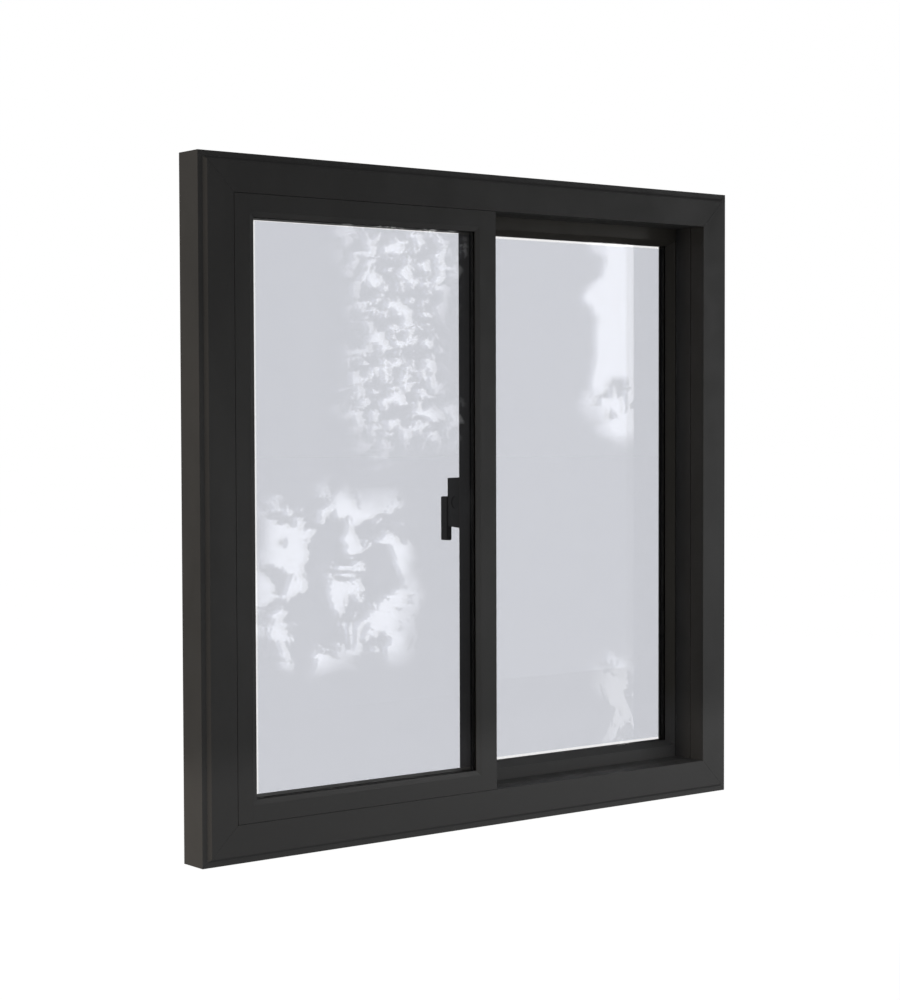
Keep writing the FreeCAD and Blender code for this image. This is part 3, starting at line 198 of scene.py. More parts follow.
class StageSettings(bpy.types.PropertyGroup):
    """Camera, floor and light."""
    eye: FloatVectorProperty(name="Camera", description="Place of the camera",
                             default=(-1.91412, -2.39402, 0.57274), subtype="XYZ")
    heading: FloatProperty(name="Heading", description="Turn from +Y towards +X",
                           default=radians(38.183), subtype="ANGLE")
    tilt: FloatProperty(name="Tilt", description="Below the horizon",
                        default=radians(2.135), subtype="ANGLE")
    roll: FloatProperty(name="Roll", description="Turn about the line of sight",
                        default=radians(0.17), subtype="ANGLE")
    lens: FloatProperty(name="Lens", description="Focal length in millimetres", default=77.86)
    backdrop: FloatProperty(name="Backdrop", description="White seen behind the window",
                            default=1.0)
    ambient: FloatProperty(name="Ambient", description="Soft light from all round",
                           default=0.24)
    floor_glow: FloatProperty(name="Floor glow", description="Keeps the floor white",
                              default=0.975)
    garden_low: FloatVectorProperty(name="Garden low corner", description="Bottom left of the "
                                    "mirrored garden", default=(0.1, -1.2, -0.9),
                                    subtype="XYZ")
    garden_high: FloatVectorProperty(name="Garden high corner", description="Top right of the "
                                     "mirrored garden", default=(1.85, -1.2, 1.3),
                                     subtype="XYZ")
    garden: FloatProperty(name="Garden", description="Brightness of the garden that the "
                          "panes mirror", default=2.4)


GROUPS = {"casing": CasingSizes, "glazing": GlazingSizes, "detail": DetailSizes,
          "wheel": WheelSizes, "lock": LockSizes, "finishes": Finishes,
          "stage": StageSettings}


class WindowSettings(bpy.types.PropertyGroup):
    """All settings of the window."""
    casing: PointerProperty(type=CasingSizes)
    glazing: PointerProperty(type=GlazingSizes)
    detail: PointerProperty(type=DetailSizes)
    wheel: PointerProperty(type=WheelSizes)
    lock: PointerProperty(type=LockSizes)
    finishes: PointerProperty(type=Finishes)
    stage: PointerProperty(type=StageSettings)


def settings():
    """The window's settings in the open scene."""
    return bpy.context.scene.sliding_window


# ---- materials ----
def colour(code):
    """Linear RGBA from an sRGB hex value."""
    values = [int(code[i:i + 2], 16) / 255 for i in (0, 2, 4)]
    return [v / 12.92 if v <= 0.04045 else ((v + 0.055) / 1.055) ** 2.4 for v in values] + [1]


def add(tree, kind, inputs=None, links=None, **attributes):
    """Adds a node with its settings, its input values and its incoming links."""
    node = tree.nodes.new(kind)
    for name, value in attributes.items():
        setattr(node, name, value)
    for key, value in (inputs or {}).items():
        node.inputs[key].default_value = value
    for key, source in (links or {}).items():
        tree.links.new(source, node.inputs[key])
    return node


def surface(name, **shader):
    """A new material with one Principled shader, and the object coordinates to feed it."""
    material = bpy.data.materials.new(name)
    material.use_nodes = True
    tree = material.node_tree
    bsdf = tree.nodes["Principled BSDF"]
    for key, value in shader.items():
        bsdf.inputs[key.replace("_", " ")].default_value = value
    place = add(tree, "ShaderNodeTexCoord")
    return material, tree, bsdf, place.outputs["Object"]


def per_metre(millimetres):
    """Noise scale whose features are about this many millimetres."""
    return 1 / (millimetres * MM)


def mottle(tree, place, feature, first, second, stretch=(1, 1, 1), detail=3):
    """Two colours in soft clouds of a given size; returns the colour."""
    turn = add(tree, "ShaderNodeMapping", {"Scale": stretch}, {"Vector": place})
    noise = add(tree, "ShaderNodeTexNoise", {"Scale": per_metre(feature), "Detail": detail},
                {"Vector": turn.outputs[0]})
    ramp = add(tree, "ShaderNodeMapRange", {"From Min": 0.35, "From Max": 0.65},
               {"Value": noise.outputs["Fac"]})
    mix = add(tree, "ShaderNodeMix", {MIX_A: colour(first), MIX_B: colour(second)},
              {"Factor": ramp.outputs[0]}, data_type="RGBA")
    return mix.outputs[MIX_RESULT]


def vary(tree, place, feature, low, high, stretch=(1, 1, 1)):
    """A number that drifts between two values in clouds of a given size."""
    turn = add(tree, "ShaderNodeMapping", {"Scale": stretch}, {"Vector": place})
    noise = add(tree, "ShaderNodeTexNoise", {"Scale": per_metre(feature), "Detail": 2},
                {"Vector": turn.outputs[0]})
    ramp = add(tree, "ShaderNodeMapRange", {"From Min": 0.3, "From Max": 0.7, "To Min": low,
                                            "To Max": high}, {"Value": noise.outputs["Fac"]})
    return ramp.outputs[0]


def grain(tree, place, feature, depth, stretch=(1, 1, 1), strength=0.3):
    """Fine relief of a given size and depth in millimetres; returns the normal."""
    turn = add(tree, "ShaderNodeMapping", {"Scale": stretch}, {"Vector": place})
    noise = add(tree, "ShaderNodeTexNoise", {"Scale": per_metre(feature), "Detail": 2},
                {"Vector": turn.outputs[0]})
    bump = add(tree, "ShaderNodeBump", {"Strength": strength, "Distance": depth * MM},
               {"Height": noise.outputs["Fac"]})
    return bump.outputs[0]


def area(tree, place, left, right, bottom, top, blur):
    """One inside an upright area, nought outside it, with a soft edge."""
    split = add(tree, "ShaderNodeSeparateXYZ", links={0: place})
    inside = None
    for axis, edge, way in (("X", left, 1), ("X", right, -1), ("Z", bottom, 1), ("Z", top, -1)):
        step = add(tree, "ShaderNodeMapRange",
                   {"From Min": edge - way * blur, "From Max": edge + way * blur},
                   {"Value": split.outputs[axis]})
        if inside is not None:
            step = add(tree, "ShaderNodeMath", {}, {0: inside.outputs[0], 1: step.outputs[0]},
                       operation="MULTIPLY")
        inside = step
    return inside.outputs[0]


def wire(tree, bsdf, **links):
    """Links outputs to a shader's inputs, which are named with underscores for spaces."""
    for key, source in links.items():
        tree.links.new(source, bsdf.inputs[key.replace("_", " ")])


def powder_coat(name, first, second, low, high):
    """Polyester powder coat on extruded aluminium: satin, with faint orange peel that is
    drawn 1.6 mm wide, coarser than life, so that it shows, and slight chalking in clouds.
    Low down the coat is painted lighter: painted light for the light on the lower faces."""
    material, tree, bsdf, place = surface(name, IOR=1.48, Specular_IOR_Level=0.5)
    split = add(tree, "ShaderNodeSeparateXYZ", links={0: place})
    finishes = settings().finishes
    # painted light: the coat turns lighter towards the bottom, fully so near the sill, standing
    # in for light on the lower faces
    painted_light_low_down = add(tree, "ShaderNodeMapRange",
                   {"From Min": finishes.low_light_top, "From Max": finishes.low_light_full},
                   {"Value": split.outputs["Z"]}, interpolation_type="SMOOTHSTEP")
    coat = add(tree, "ShaderNodeMix", {MIX_B: colour(finishes.painted_low_light)},
               {"Factor": painted_light_low_down.outputs[0],
                MIX_A: mottle(tree, place, 70, first, second, (1, 1, 0.4))}, data_type="RGBA")
    wire(tree, bsdf,
         Base_Color=coat.outputs[MIX_RESULT],
         Roughness=vary(tree, place, 45, low, high),
         Normal=grain(tree, place, 1.6, 0.02))
    return material


def clear_glass():
    """Clear float glass: flat, glossy, with a slight roller wave."""
    material, tree, bsdf, place = surface(
        "clear_float_glass", IOR=1.52, Roughness=0.0, Transmission_Weight=1.0,
        Base_Color=(1, 1, 1, 1))
    wire(tree, bsdf, Normal=grain(tree, place, 260, 0.05, strength=0.12))
    return material


def coated_glass(sash):
    """Float glass with a low-emissivity coating, which dims and cools what is behind it. A strip
    round the edge is left untinted: a painted highlight, a thin bright line beside the beads."""
    material, tree, bsdf, place = surface(
        "coated_float_glass_" + sash, IOR=1.52, Roughness=0.0, Transmission_Weight=1.0)
    glazing = settings().glazing
    low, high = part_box(sash + "_glass_outer")
    side, sill = glazing.bite + glazing.highlight_side, glazing.bite + glazing.highlight_sill
    # painted highlight: the untinted strip round the edge gives a thin bright line beside the
    # beads
    inside = area(tree, place, low.x + side, high.x - side, low.z + sill, high.z - side,
                  blur=0.01 * MM)
    tint = add(tree, "ShaderNodeMix",
               {MIX_A: colour("FFFFFF"), MIX_B: colour(settings().finishes.glass)},
               {"Factor": inside}, data_type="RGBA")
    wire(tree, bsdf, Base_Color=tint.outputs[MIX_RESULT],
         Normal=grain(tree, place, 260, 0.05, strength=0.12))
    return material


def rubber(name, first, second, feature):
    """Extruded EPDM: matt, near black, with a dry bloom."""
    material, tree, bsdf, place = surface(name, IOR=1.5, Specular_IOR_Level=0.3)
    wire(tree, bsdf,
         Base_Color=mottle(tree, place, feature, first, second),
         Roughness=vary(tree, place, feature, 0.62, 0.8),
         Normal=grain(tree, place, 0.8, 0.03))
    return material


def plastic(name, first, second, rough):
    """Moulded engineering plastic: even colour, soft sheen and a fine spark-eroded skin."""
    material, tree, bsdf, place = surface(name, IOR=1.46)
    wire(tree, bsdf,
         Base_Color=mottle(tree, place, 9, first, second),
         Roughness=vary(tree, place, 6, rough - 0.06, rough + 0.08),
         Normal=grain(tree, place, 0.7, 0.02))
    return material


def metal(name, first, second, low, high, stretch):
    """Bare or plated metal with draw lines along the extrusion or turning marks."""
    material, tree, bsdf, place = surface(name, Metallic=1.0)
    wire(tree, bsdf,
         Base_Color=mottle(tree, place, 14, first, second),
         Roughness=vary(tree, place, 5, low, high, stretch),
         Normal=grain(tree, place, 1.1, 0.01, stretch))
    return material


def enamel():
    """Baked enamel over a zinc casting: smooth, a little glossier than the profiles."""
    material, tree, bsdf, place = surface("baked_enamel", IOR=1.5, Coat_Weight=0.15,
                                          Coat_Roughness=0.25)
    wire(tree, bsdf,
         Base_Color=mottle(tree, place, 20, settings().finishes.enamel, "181612"),
         Roughness=vary(tree, place, 12, 0.36, 0.46),
         Normal=grain(tree, place, 2.2, 0.015))
    return material


def pile_fibre():
    """Woven polypropylene pile: matt, grey, with light and dark fibres side by side."""
    material, tree, bsdf, place = surface("polypropylene_pile", IOR=1.49, Sheen_Weight=0.4,
                                          Sheen_Roughness=0.5)
    wire(tree, bsdf,
         Base_Color=mottle(tree, place, 1.2, "38383A", "5C5C5E"),
         Roughness=vary(tree, place, 2, 0.8, 0.95))
    return material


def make_materials():
    """All materials, by the slot that they fill."""
    finishes = settings().finishes
    return {
        "dark_coating": powder_coat("powder_coated_aluminium", finishes.coating,
                                    finishes.coating_worn, 0.4, 0.52),
        "sash_coating": powder_coat("powder_coated_sash", finishes.sash, finishes.sash_worn,
                                    0.4, 0.5),
        "float_glass": clear_glass(),
        "spacer_bar": plastic("warm_edge_spacer", "141414", "1C1B1A", 0.5),
        "mill_aluminium": metal("mill_finish_aluminium", "B4B6B8", "C6C8CA", 0.28, 0.42,
                                (0.05, 1, 1)),
        "seal_rubber": rubber("epdm_seal", "0C0C0C", "141413", 12),
        "bumper_rubber": rubber("moulded_rubber_bumper", "101010", "1B1A19", 25),
        "pile": pile_fibre(),
        "moulded_nylon": plastic("moulded_nylon", "24241F", "2C2C28", 0.48),
        "acetal": plastic("white_acetal", "D8D6CE", "E6E4DC", 0.34),
        "plated_steel": metal("zinc_plated_steel", "9EA0A0", "B8B9B4", 0.24, 0.4, (1, 1, 1)),
        "lock_enamel": enamel(),
    }


MATERIALS = {}


# ---- modelling helpers ----
def activate(piece):
    """Selects one object alone and makes it the active one."""
    bpy.ops.object.select_all(action="DESELECT")
    piece.select_set(True)
    bpy.context.view_layer.objects.active = piece
    return piece


def edit(piece):
    """Opens one object in edit mode, all of it selected."""
    activate(piece)
    bpy.ops.object.mode_set(mode="EDIT")
    bpy.ops.mesh.select_mode(type="VERT")
    bpy.ops.mesh.select_all(action="SELECT")


def done():
    """Back to object mode."""
    bpy.ops.object.mode_set(mode="OBJECT")


def pick_faces(piece, test):
    """In edit mode, selects only the faces whose centre and normal pass a test."""
    bpy.ops.mesh.select_mode(type="FACE")
    mesh = bmesh.from_edit_mesh(piece.data)
    for face in mesh.faces:
        face.select_set(bool(test(face.calc_center_median(), face.normal)))
    mesh.select_flush_mode()
    bmesh.update_edit_mesh(piece.data)


def modify(piece, kind, **values):
    """Adds a modifier and applies it."""
    activate(piece)
    modifier = piece.modifiers.new(kind.lower(), kind)
    for name, value in values.items():
        setattr(modifier, name, value)
    bpy.ops.object.modifier_apply(modifier=modifier.name)


def soften(piece, radius, segments=2, angle=28):
    """Rounds every sharp edge and shades the flats flat and the rounds round."""
    modify(piece, "BEVEL", width=radius, segments=segments, limit_method="ANGLE",
           angle_limit=radians(angle), use_clamp_overlap=True, miter_outer="MITER_ARC")
    activate(piece)
    bpy.ops.object.shade_smooth()
    modify(piece, "WEIGHTED_NORMAL", keep_sharp=True, weight=60)


def finish(piece, body, slot, *nodes):
    """Gives a finished piece its material, its body and the CAD nodes that it stands for."""
    piece.data.materials.clear()
    piece.data.materials.append(MATERIALS[slot])
    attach(piece, body)
    if nodes:
        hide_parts(*nodes)
    return piece


def copy_node(node, name):
    """A merged copy of a CAD node's mesh, with its flat faces whole again."""
    piece = bpy.data.objects.new(name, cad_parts[node].data.copy())
    bpy.context.scene.collection.objects.link(piece)
    edit(piece)
    bpy.ops.mesh.customdata_custom_splitnormals_clear()
    bpy.ops.mesh.remove_doubles(threshold=0.002 * MM)
    bpy.ops.mesh.dissolve_limited(angle_limit=radians(0.5))
    done()
    return piece


def soft_copy(node, body, slot, radius, segments=2):
    """The CAD node's shape with its edges rounded, in place of the node."""
    piece = copy_node(node, node + "_finished")
    soften(piece, radius, segments)
    return finish(piece, body, slot, node)


def dress(slot, *nodes):
    """Gives CAD nodes that stay as they are their material."""
    for node in nodes:
        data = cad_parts[node].data
        data.materials.clear()
        data.materials.append(MATERIALS[slot])


def trace(name, points):
    """A flat outline in XY, drawn by extruding one vertex from point to point and filled."""
    bpy.ops.mesh.primitive_plane_add(size=MM, location=(0, 0, 0))
    piece = bpy.context.object
    piece.name = piece.data.name = name
    edit(piece)
    bpy.ops.mesh.merge(type="CENTER")
    x, y = points[0]
    bpy.ops.transform.translate(value=(x, y, 0))
    for next_x, next_y in points[1:]:
        bpy.ops.mesh.extrude_vertices_move(
            TRANSFORM_OT_translate={"value": (next_x - x, next_y - y, 0)})
        x, y = next_x, next_y
    bpy.ops.mesh.select_all(action="SELECT")
    bpy.ops.mesh.edge_face_add()
    done()
    return piece


def member(name, points, side, low, high):
    """A mitred extrusion along one side of the rectangle between two corners.

    The outline's X runs from the outer edge inwards and its Y into the room from the lower
    corner's Y."""
    across = side in ("head", "sill")
    length = high.x - low.x if across else high.z - low.z
    piece = trace(name, points)
    edit(piece)
    bpy.ops.mesh.extrude_region_move(TRANSFORM_OT_translate={"value": (0, 0, length)})
    for end, slope in ((0, -1), (length, 1)):
        bpy.ops.mesh.select_all(action="SELECT")
        bpy.ops.mesh.bisect(plane_co=(0, 0, end), plane_no=(1, 0, slope), use_fill=True,
                            clear_outer=True, threshold=0.0001 * MM)
    bpy.ops.mesh.select_all(action="SELECT")
    bpy.ops.mesh.remove_doubles(threshold=0.001 * MM)
    bpy.ops.mesh.normals_make_consistent(inside=False)
    done()
    angle, x, z = {"left": (0, low.x, low.z), "right": (180, high.x, high.z),
                   "head": (90, low.x, high.z), "sill": (-90, high.x, low.z)}[side]
    piece.rotation_euler = Euler((0, radians(angle), 0))
    piece.location = (x, low.y, z)
    activate(piece)
    bpy.ops.object.transform_apply(location=True, rotation=True, scale=True)
    return piece


def block(name, low, high):
    """A box between two corners, left in object mode."""
    bpy.ops.mesh.primitive_cube_add(size=1, location=(0, 0, 0))
    piece = bpy.context.object
    piece.name = piece.data.name = name
    piece.scale = high - low
    piece.location = (low + high) / 2
    bpy.ops.object.transform_apply(location=True, rotation=True, scale=True)
    return piece


def islands(node):
    """Boxes of the separate solids in a CAD node, lowest and leftmost first."""
    copy = copy_node(node, node + "_count")
    edit(copy)
    bpy.ops.mesh.separate(type="LOOSE")
    done()
    boxes = []
    for part in list(bpy.context.selected_objects):
        points = [vertex.co for vertex in part.data.vertices]
        boxes.append((Vector([min(p[i] for p in points) for i in range(3)]),
                      Vector([max(p[i] for p in points) for i in range(3)])))
        bpy.data.objects.remove(part)
    return sorted(boxes, key=lambda pair: tuple(pair[0]))


def join(name, pieces):
    """Joins pieces into the first one and names it."""
    bpy.ops.object.select_all(action="DESELECT")
    for piece in pieces:
        piece.select_set(True)
    bpy.context.view_layer.objects.active = pieces[0]
    bpy.ops.object.join()
    pieces[0].name = pieces[0].data.name = name
    return pieces[0]


# ---- pieces ----
class WINDOW_OT_casing(bpy.types.Operator):
    """Four mitred casing extrusions with a low ledge, a slope and a flat face"""
    bl_idname = "window.casing"
    bl_label = "Casing"

    def execute(self, context):
        casing = settings().casing
        head_low, head_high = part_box("casing_head")
        depth, face = head_high.y - head_low.y, head_high.z - head_low.z
        rise = casing.ledge + casing.cove
        wall, drop = casing.wall, casing.ledge_drop
        rib, rib_end = casing.rib, depth - casing.rib_short
        points = [
            (0, drop), (casing.ledge, drop), (rise, 0), (face, 0), (face, casing.reveal),
            (face - wall, casing.reveal), (face - wall, wall), (rib + casing.rib_wall, wall),
            (rib + casing.rib_wall, rib_end), (rib, rib_end), (rib, wall), (rise, wall),
            (casing.ledge, drop + wall), (wall, drop + wall), (wall, depth), (0, depth)]
        low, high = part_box("casing_jamb_left")[0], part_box("casing_jamb_right")[1]
        for side in ("head", "sill", "left", "right"):
            node = "casing_" + (side if side in ("head", "sill") else "jamb_" + side)
            piece = member(node + "_extrusion", points, side, low, high)
            soften(piece, casing.rounding, 3)
            finish(piece, "frame", "dark_coating", node)
        return {"FINISHED"}


class WINDOW_OT_frame(bpy.types.Operator):
    """Frame members behind the casing, with the track and the head guide"""
    bl_idname = "window.frame"
    bl_label = "Frame"

    def execute(self, context):
        detail = settings().detail
        for node in ("frame_head", "frame_sill", "frame_jamb_left", "frame_jamb_right"):
            soft_copy(node, "frame", "dark_coating", detail.rounding)
        for node in ("sill_track", "head_guide"):
            soft_copy(node, "frame", "mill_aluminium", detail.track_rounding, 3)
        for node in ("fixed_stop_head", "fixed_stop_sill", "fixed_stop_jamb"):
            soft_copy(node, "frame", "dark_coating", detail.rounding)
        return {"FINISHED"}


class WINDOW_OT_sashes(bpy.types.Operator):
    """Rails, stiles and interlock strips of the fixed and the sliding sash"""
    bl_idname = "window.sashes"
    bl_label = "Sashes"

    def execute(self, context):
        detail = settings().detail
        for node in ("fixed_side_stile", "fixed_meeting_stile", "fixed_top_rail",
                     "fixed_bottom_rail"):
            soft_copy(node, "frame", "dark_coating", detail.rounding)
        for node in ("sash_side_stile", "sash_meeting_stile", "sash_top_rail",
                     "sash_bottom_rail"):
            soft_copy(node, "sash", "sash_coating", detail.rounding)
        soft_copy("fixed_interlock", "frame", "dark_coating", detail.fine_rounding)
        soft_copy("sash_interlock", "sash", "sash_coating", detail.fine_rounding)
        soft_copy("lock_keeper", "frame", "plated_steel", detail.fine_rounding)
        return {"FINISHED"}


class WINDOW_OT_glazing(bpy.types.Operator):
    """Beads, panes, spacer bars and gaskets of both sashes"""
    bl_idname = "window.glazing"
    bl_label = "Glazing"

    SIDES = {"fixed": (("head", "top"), ("sill", "bottom"), ("left", "side"),
                       ("right", "meeting")),
             "sash": (("head", "top"), ("sill", "bottom"), ("left", "meeting"),
                      ("right", "side"))}

    def beads(self, sash, body, slot):
        """Four sloped beads with a leg that grips the sash."""
        glazing = settings().glazing
        low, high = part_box(sash + "_bead_bottom")[0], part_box(sash + "_bead_top")[1]
        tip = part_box(sash + "_glass_outer")[0].y - glazing.tape - low.y
        drop = tip - glazing.bead_tip
        points = [
            (0, 0), (glazing.bead_flat, 0), (glazing.bead, drop), (glazing.bead, tip),
            (glazing.bead_leg, tip), (glazing.bead_leg, tip + glazing.bead_grip),
            (0, tip + glazing.bead_grip)]
        for side, name in self.SIDES[sash]:
            node = "%s_bead_%s" % (sash, name)
            piece = member(node + "_extrusion", points, side, low, high)
            soften(piece, settings().detail.fine_rounding)
            finish(piece, body, slot, node)

    def pane(self, node, body, material):
        """A sheet of glass with ground edges; both kinds of glass fill the same slot."""
        piece = block(node + "_pane", *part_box(node))
        modify(piece, "BEVEL", width=settings().glazing.arris, segments=1)
        finish(piece, body, "float_glass", node)
        piece.data.materials[0] = material

    def spacer(self, node, body):
        """A bar all round the edge of the glass, folded at its corners, with a sunk seam."""
        glazing = settings().glazing
        low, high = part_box(node)
        width, depth, seam = glazing.spacer, high.y - low.y, glazing.seam
        points = [
            (0, 0), (width, 0), (width, depth / 2 - seam), (width - seam, depth / 2),
            (width, depth / 2 + seam), (width, depth), (0, depth)]
        bars = [member(name, points, side, low, high)
                for side, name in self.SIDES["fixed"]]
        piece = join(node + "_bar", bars)
        edit(piece)
        bpy.ops.mesh.remove_doubles(threshold=0.002 * MM)
        bpy.ops.mesh.select_all(action="DESELECT")
        bpy.ops.mesh.select_interior_faces()
        bpy.ops.mesh.delete(type="FACE")
        bpy.ops.mesh.select_all(action="SELECT")
        bpy.ops.mesh.normals_make_consistent(inside=False)
        done()
        soften(piece, seam / 2)
        finish(piece, body, "spacer_bar", node)

    def execute(self, context):
        for sash, body, slot in (("fixed", "frame", "dark_coating"),
                                 ("sash", "sash", "sash_coating")):
            self.beads(sash, body, slot)
            self.pane(sash + "_glass_outer", body, coated_glass(sash))
            self.pane(sash + "_glass_inner", body, MATERIALS["float_glass"])
            self.spacer(sash + "_spacer", body)
            dress("seal_rubber", sash + "_seals", sash + "_setting_blocks")
        return {"FINISHED"}


class WINDOW_OT_rollers(bpy.types.Operator):
    """Grooved wheels on axles in moulded housings"""
    bl_idname = "window.rollers"
    bl_label = "Rollers"

    def wheel(self, side, wheel):
        """A turned wheel with a groove for the track, spun from half its section."""
        node = "roller_wheel_" + side
        low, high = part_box(node)
        rim, edge = (high.z - low.z) / 2, (high.y - low.y) / 2
        groove, bore = wheel.groove, wheel.bore
        slope = groove + wheel.flange * 0.5
        hub, dish = bore + wheel.hub, wheel.dish
        web = rim - wheel.flange - wheel.hub
        half = [(bore, edge), (hub, edge), (hub, edge - dish), (web, edge - dish),
                (web, edge), (rim, edge), (rim, slope), (rim - wheel.flange, groove)]
        points = [(x, -y) for x, y in half] + [(x, y) for x, y in reversed(half)]
        piece = trace(node + "_turned", points)
        edit(piece)
        bpy.ops.mesh.delete(type="ONLY_FACE")
        bpy.ops.mesh.select_all(action="SELECT")
        bpy.ops.mesh.spin(steps=wheel.steps, angle=radians(360), center=(0, 0, 0),
                          axis=(0, 1, 0))
        bpy.ops.mesh.select_all(action="SELECT")
        bpy.ops.mesh.remove_doubles(threshold=0.001 * MM)
        bpy.ops.mesh.normals_make_consistent(inside=False)
        done()
        piece.location = (low + high) / 2
        activate(piece)
        bpy.ops.object.transform_apply(location=True, rotation=True, scale=True)
        soften(piece, settings().detail.fine_rounding, 2, 35)
        finish(piece, side + "_roller", "acetal", node)

    def execute(self, context):
        for side in ("left", "right"):
            self.wheel(side, settings().wheel)
        soft_copy("roller_housings", "sash", "moulded_nylon", settings().detail.rounding)
        dress("plated_steel", "roller_axles")
        return {"FINISHED"}


class WINDOW_OT_lock(bpy.types.Operator):
    """Lever lock on the sliding sash: base, lever, spindle and cam"""
    bl_idname = "window.lock"
    bl_label = "Lock"

    def lever(self, lock):
        """A cranked blade below a hub, with a shallow dished field in its face."""
        low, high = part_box("lock_lever")
        wide, deep, tall = high - low
        blade, shoulder, cut = lock.blade, tall - lock.hub, lock.corner
        points = [
            (cut, 0), (blade - cut, 0), (blade, cut), (blade, shoulder - cut),
            (blade + cut, shoulder), (wide - cut, shoulder), (wide, shoulder + cut),
            (wide, tall - cut), (wide - cut, tall), (cut, tall), (0, tall - cut), (0, cut)]
        piece = trace("lock_lever_cast", points)
        edit(piece)
        bpy.ops.mesh.extrude_region_move(TRANSFORM_OT_translate={"value": (0, 0, -deep)})
        bpy.ops.mesh.select_all(action="SELECT")
        bpy.ops.mesh.normals_make_consistent(inside=False)
        pick_faces(piece, lambda centre, normal: normal.z < -0.9)
        bpy.ops.mesh.inset(thickness=lock.rim, depth=0)
        bpy.ops.mesh.inset(thickness=lock.field * 0.6, depth=-lock.field)
        done()
        piece.rotation_euler = Euler((radians(90), 0, 0))
        piece.location = (low.x, low.y, low.z)
        activate(piece)
        bpy.ops.object.transform_apply(location=True, rotation=True, scale=True)
        soften(piece, lock.edge, 3)
        finish(piece, "lock", "lock_enamel", "lock_lever")

    def execute(self, context):
        lock = settings().lock
        self.lever(lock)
        soft_copy("lock_base", "sash", "lock_enamel", lock.base_edge, 3)
        soft_copy("lock_cam", "lock", "plated_steel", settings().detail.rounding)
        dress("plated_steel", "lock_spindle", "lock_base_screws")
        return {"FINISHED"}


class WINDOW_OT_pile(bpy.types.Operator):
    """Woven pile strips that wipe the sliding sash"""
    bl_idname = "window.pile"
    bl_label = "Weather pile"

    def strip(self, name, low, high, flip):
        """A woven backing with tapered tufts all along it."""
        detail = settings().detail
        run = 0 if high.x - low.x > high.z - low.z else 2
        thick, length, pitch = high.y - low.y, high[run] - low[run], detail.tuft_pitch
        web = thick * detail.backing
        near, far = (high.y - web, high.y) if flip else (low.y, low.y + web)
        backing = block(name, Vector((low.x, near, low.z)), Vector((high.x, far, high.z)))
        start, end = low.copy(), high.copy()
        start[run] += detail.tuft_gap
        end[run] = start[run] + pitch - detail.tuft_gap
        start[2 - run] += detail.tuft_gap
        end[2 - run] -= detail.tuft_gap
        if flip:
            end.y = near + web * detail.tuft_root
        else:
            start.y = far - web * detail.tuft_root
        tuft = block(name + "_tuft", start, end)
        edit(tuft)
        side = -0.9 if flip else 0.9
        pick_faces(tuft, lambda centre, normal: normal.y * side > 0.8)
        bpy.ops.transform.resize(value=(detail.tuft_taper, 1, detail.tuft_taper))
        done()
        offset = [0, 0, 0]
        offset[run] = pitch
        modify(tuft, "ARRAY", count=int(length / pitch), use_relative_offset=False,
               use_constant_offset=True, constant_offset_displace=offset)
        return join(name, [backing, tuft])

    def execute(self, context):
        boxes = islands("weather_pile")
        front = min(low.y for low, high in boxes)
        strips = [self.strip("pile_%d" % index, low, high, low.y > front + MM)
                  for index, (low, high) in enumerate(boxes)]
        piece = join("weather_pile_woven", strips)
        finish(piece, "frame", "pile", "weather_pile")
        soft_copy("sash_bumpers", "frame", "bumper_rubber", settings().detail.moulded, 3)
        return {"FINISHED"}


class WINDOW_OT_fixings(bpy.types.Operator):
    """Screws, corner keys and other plain fixings keep their CAD shape"""
    bl_idname = "window.fixings"
    bl_label = "Fixings"

    def execute(self, context):
        dress("mill_aluminium", "casing_corner_keys", "frame_corner_keys")
        dress("plated_steel", "fixed_corner_screws", "sash_corner_screws", "stop_screws",
              "fixed_interlock_screws", "sash_interlock_screws")
        return {"FINISHED"}


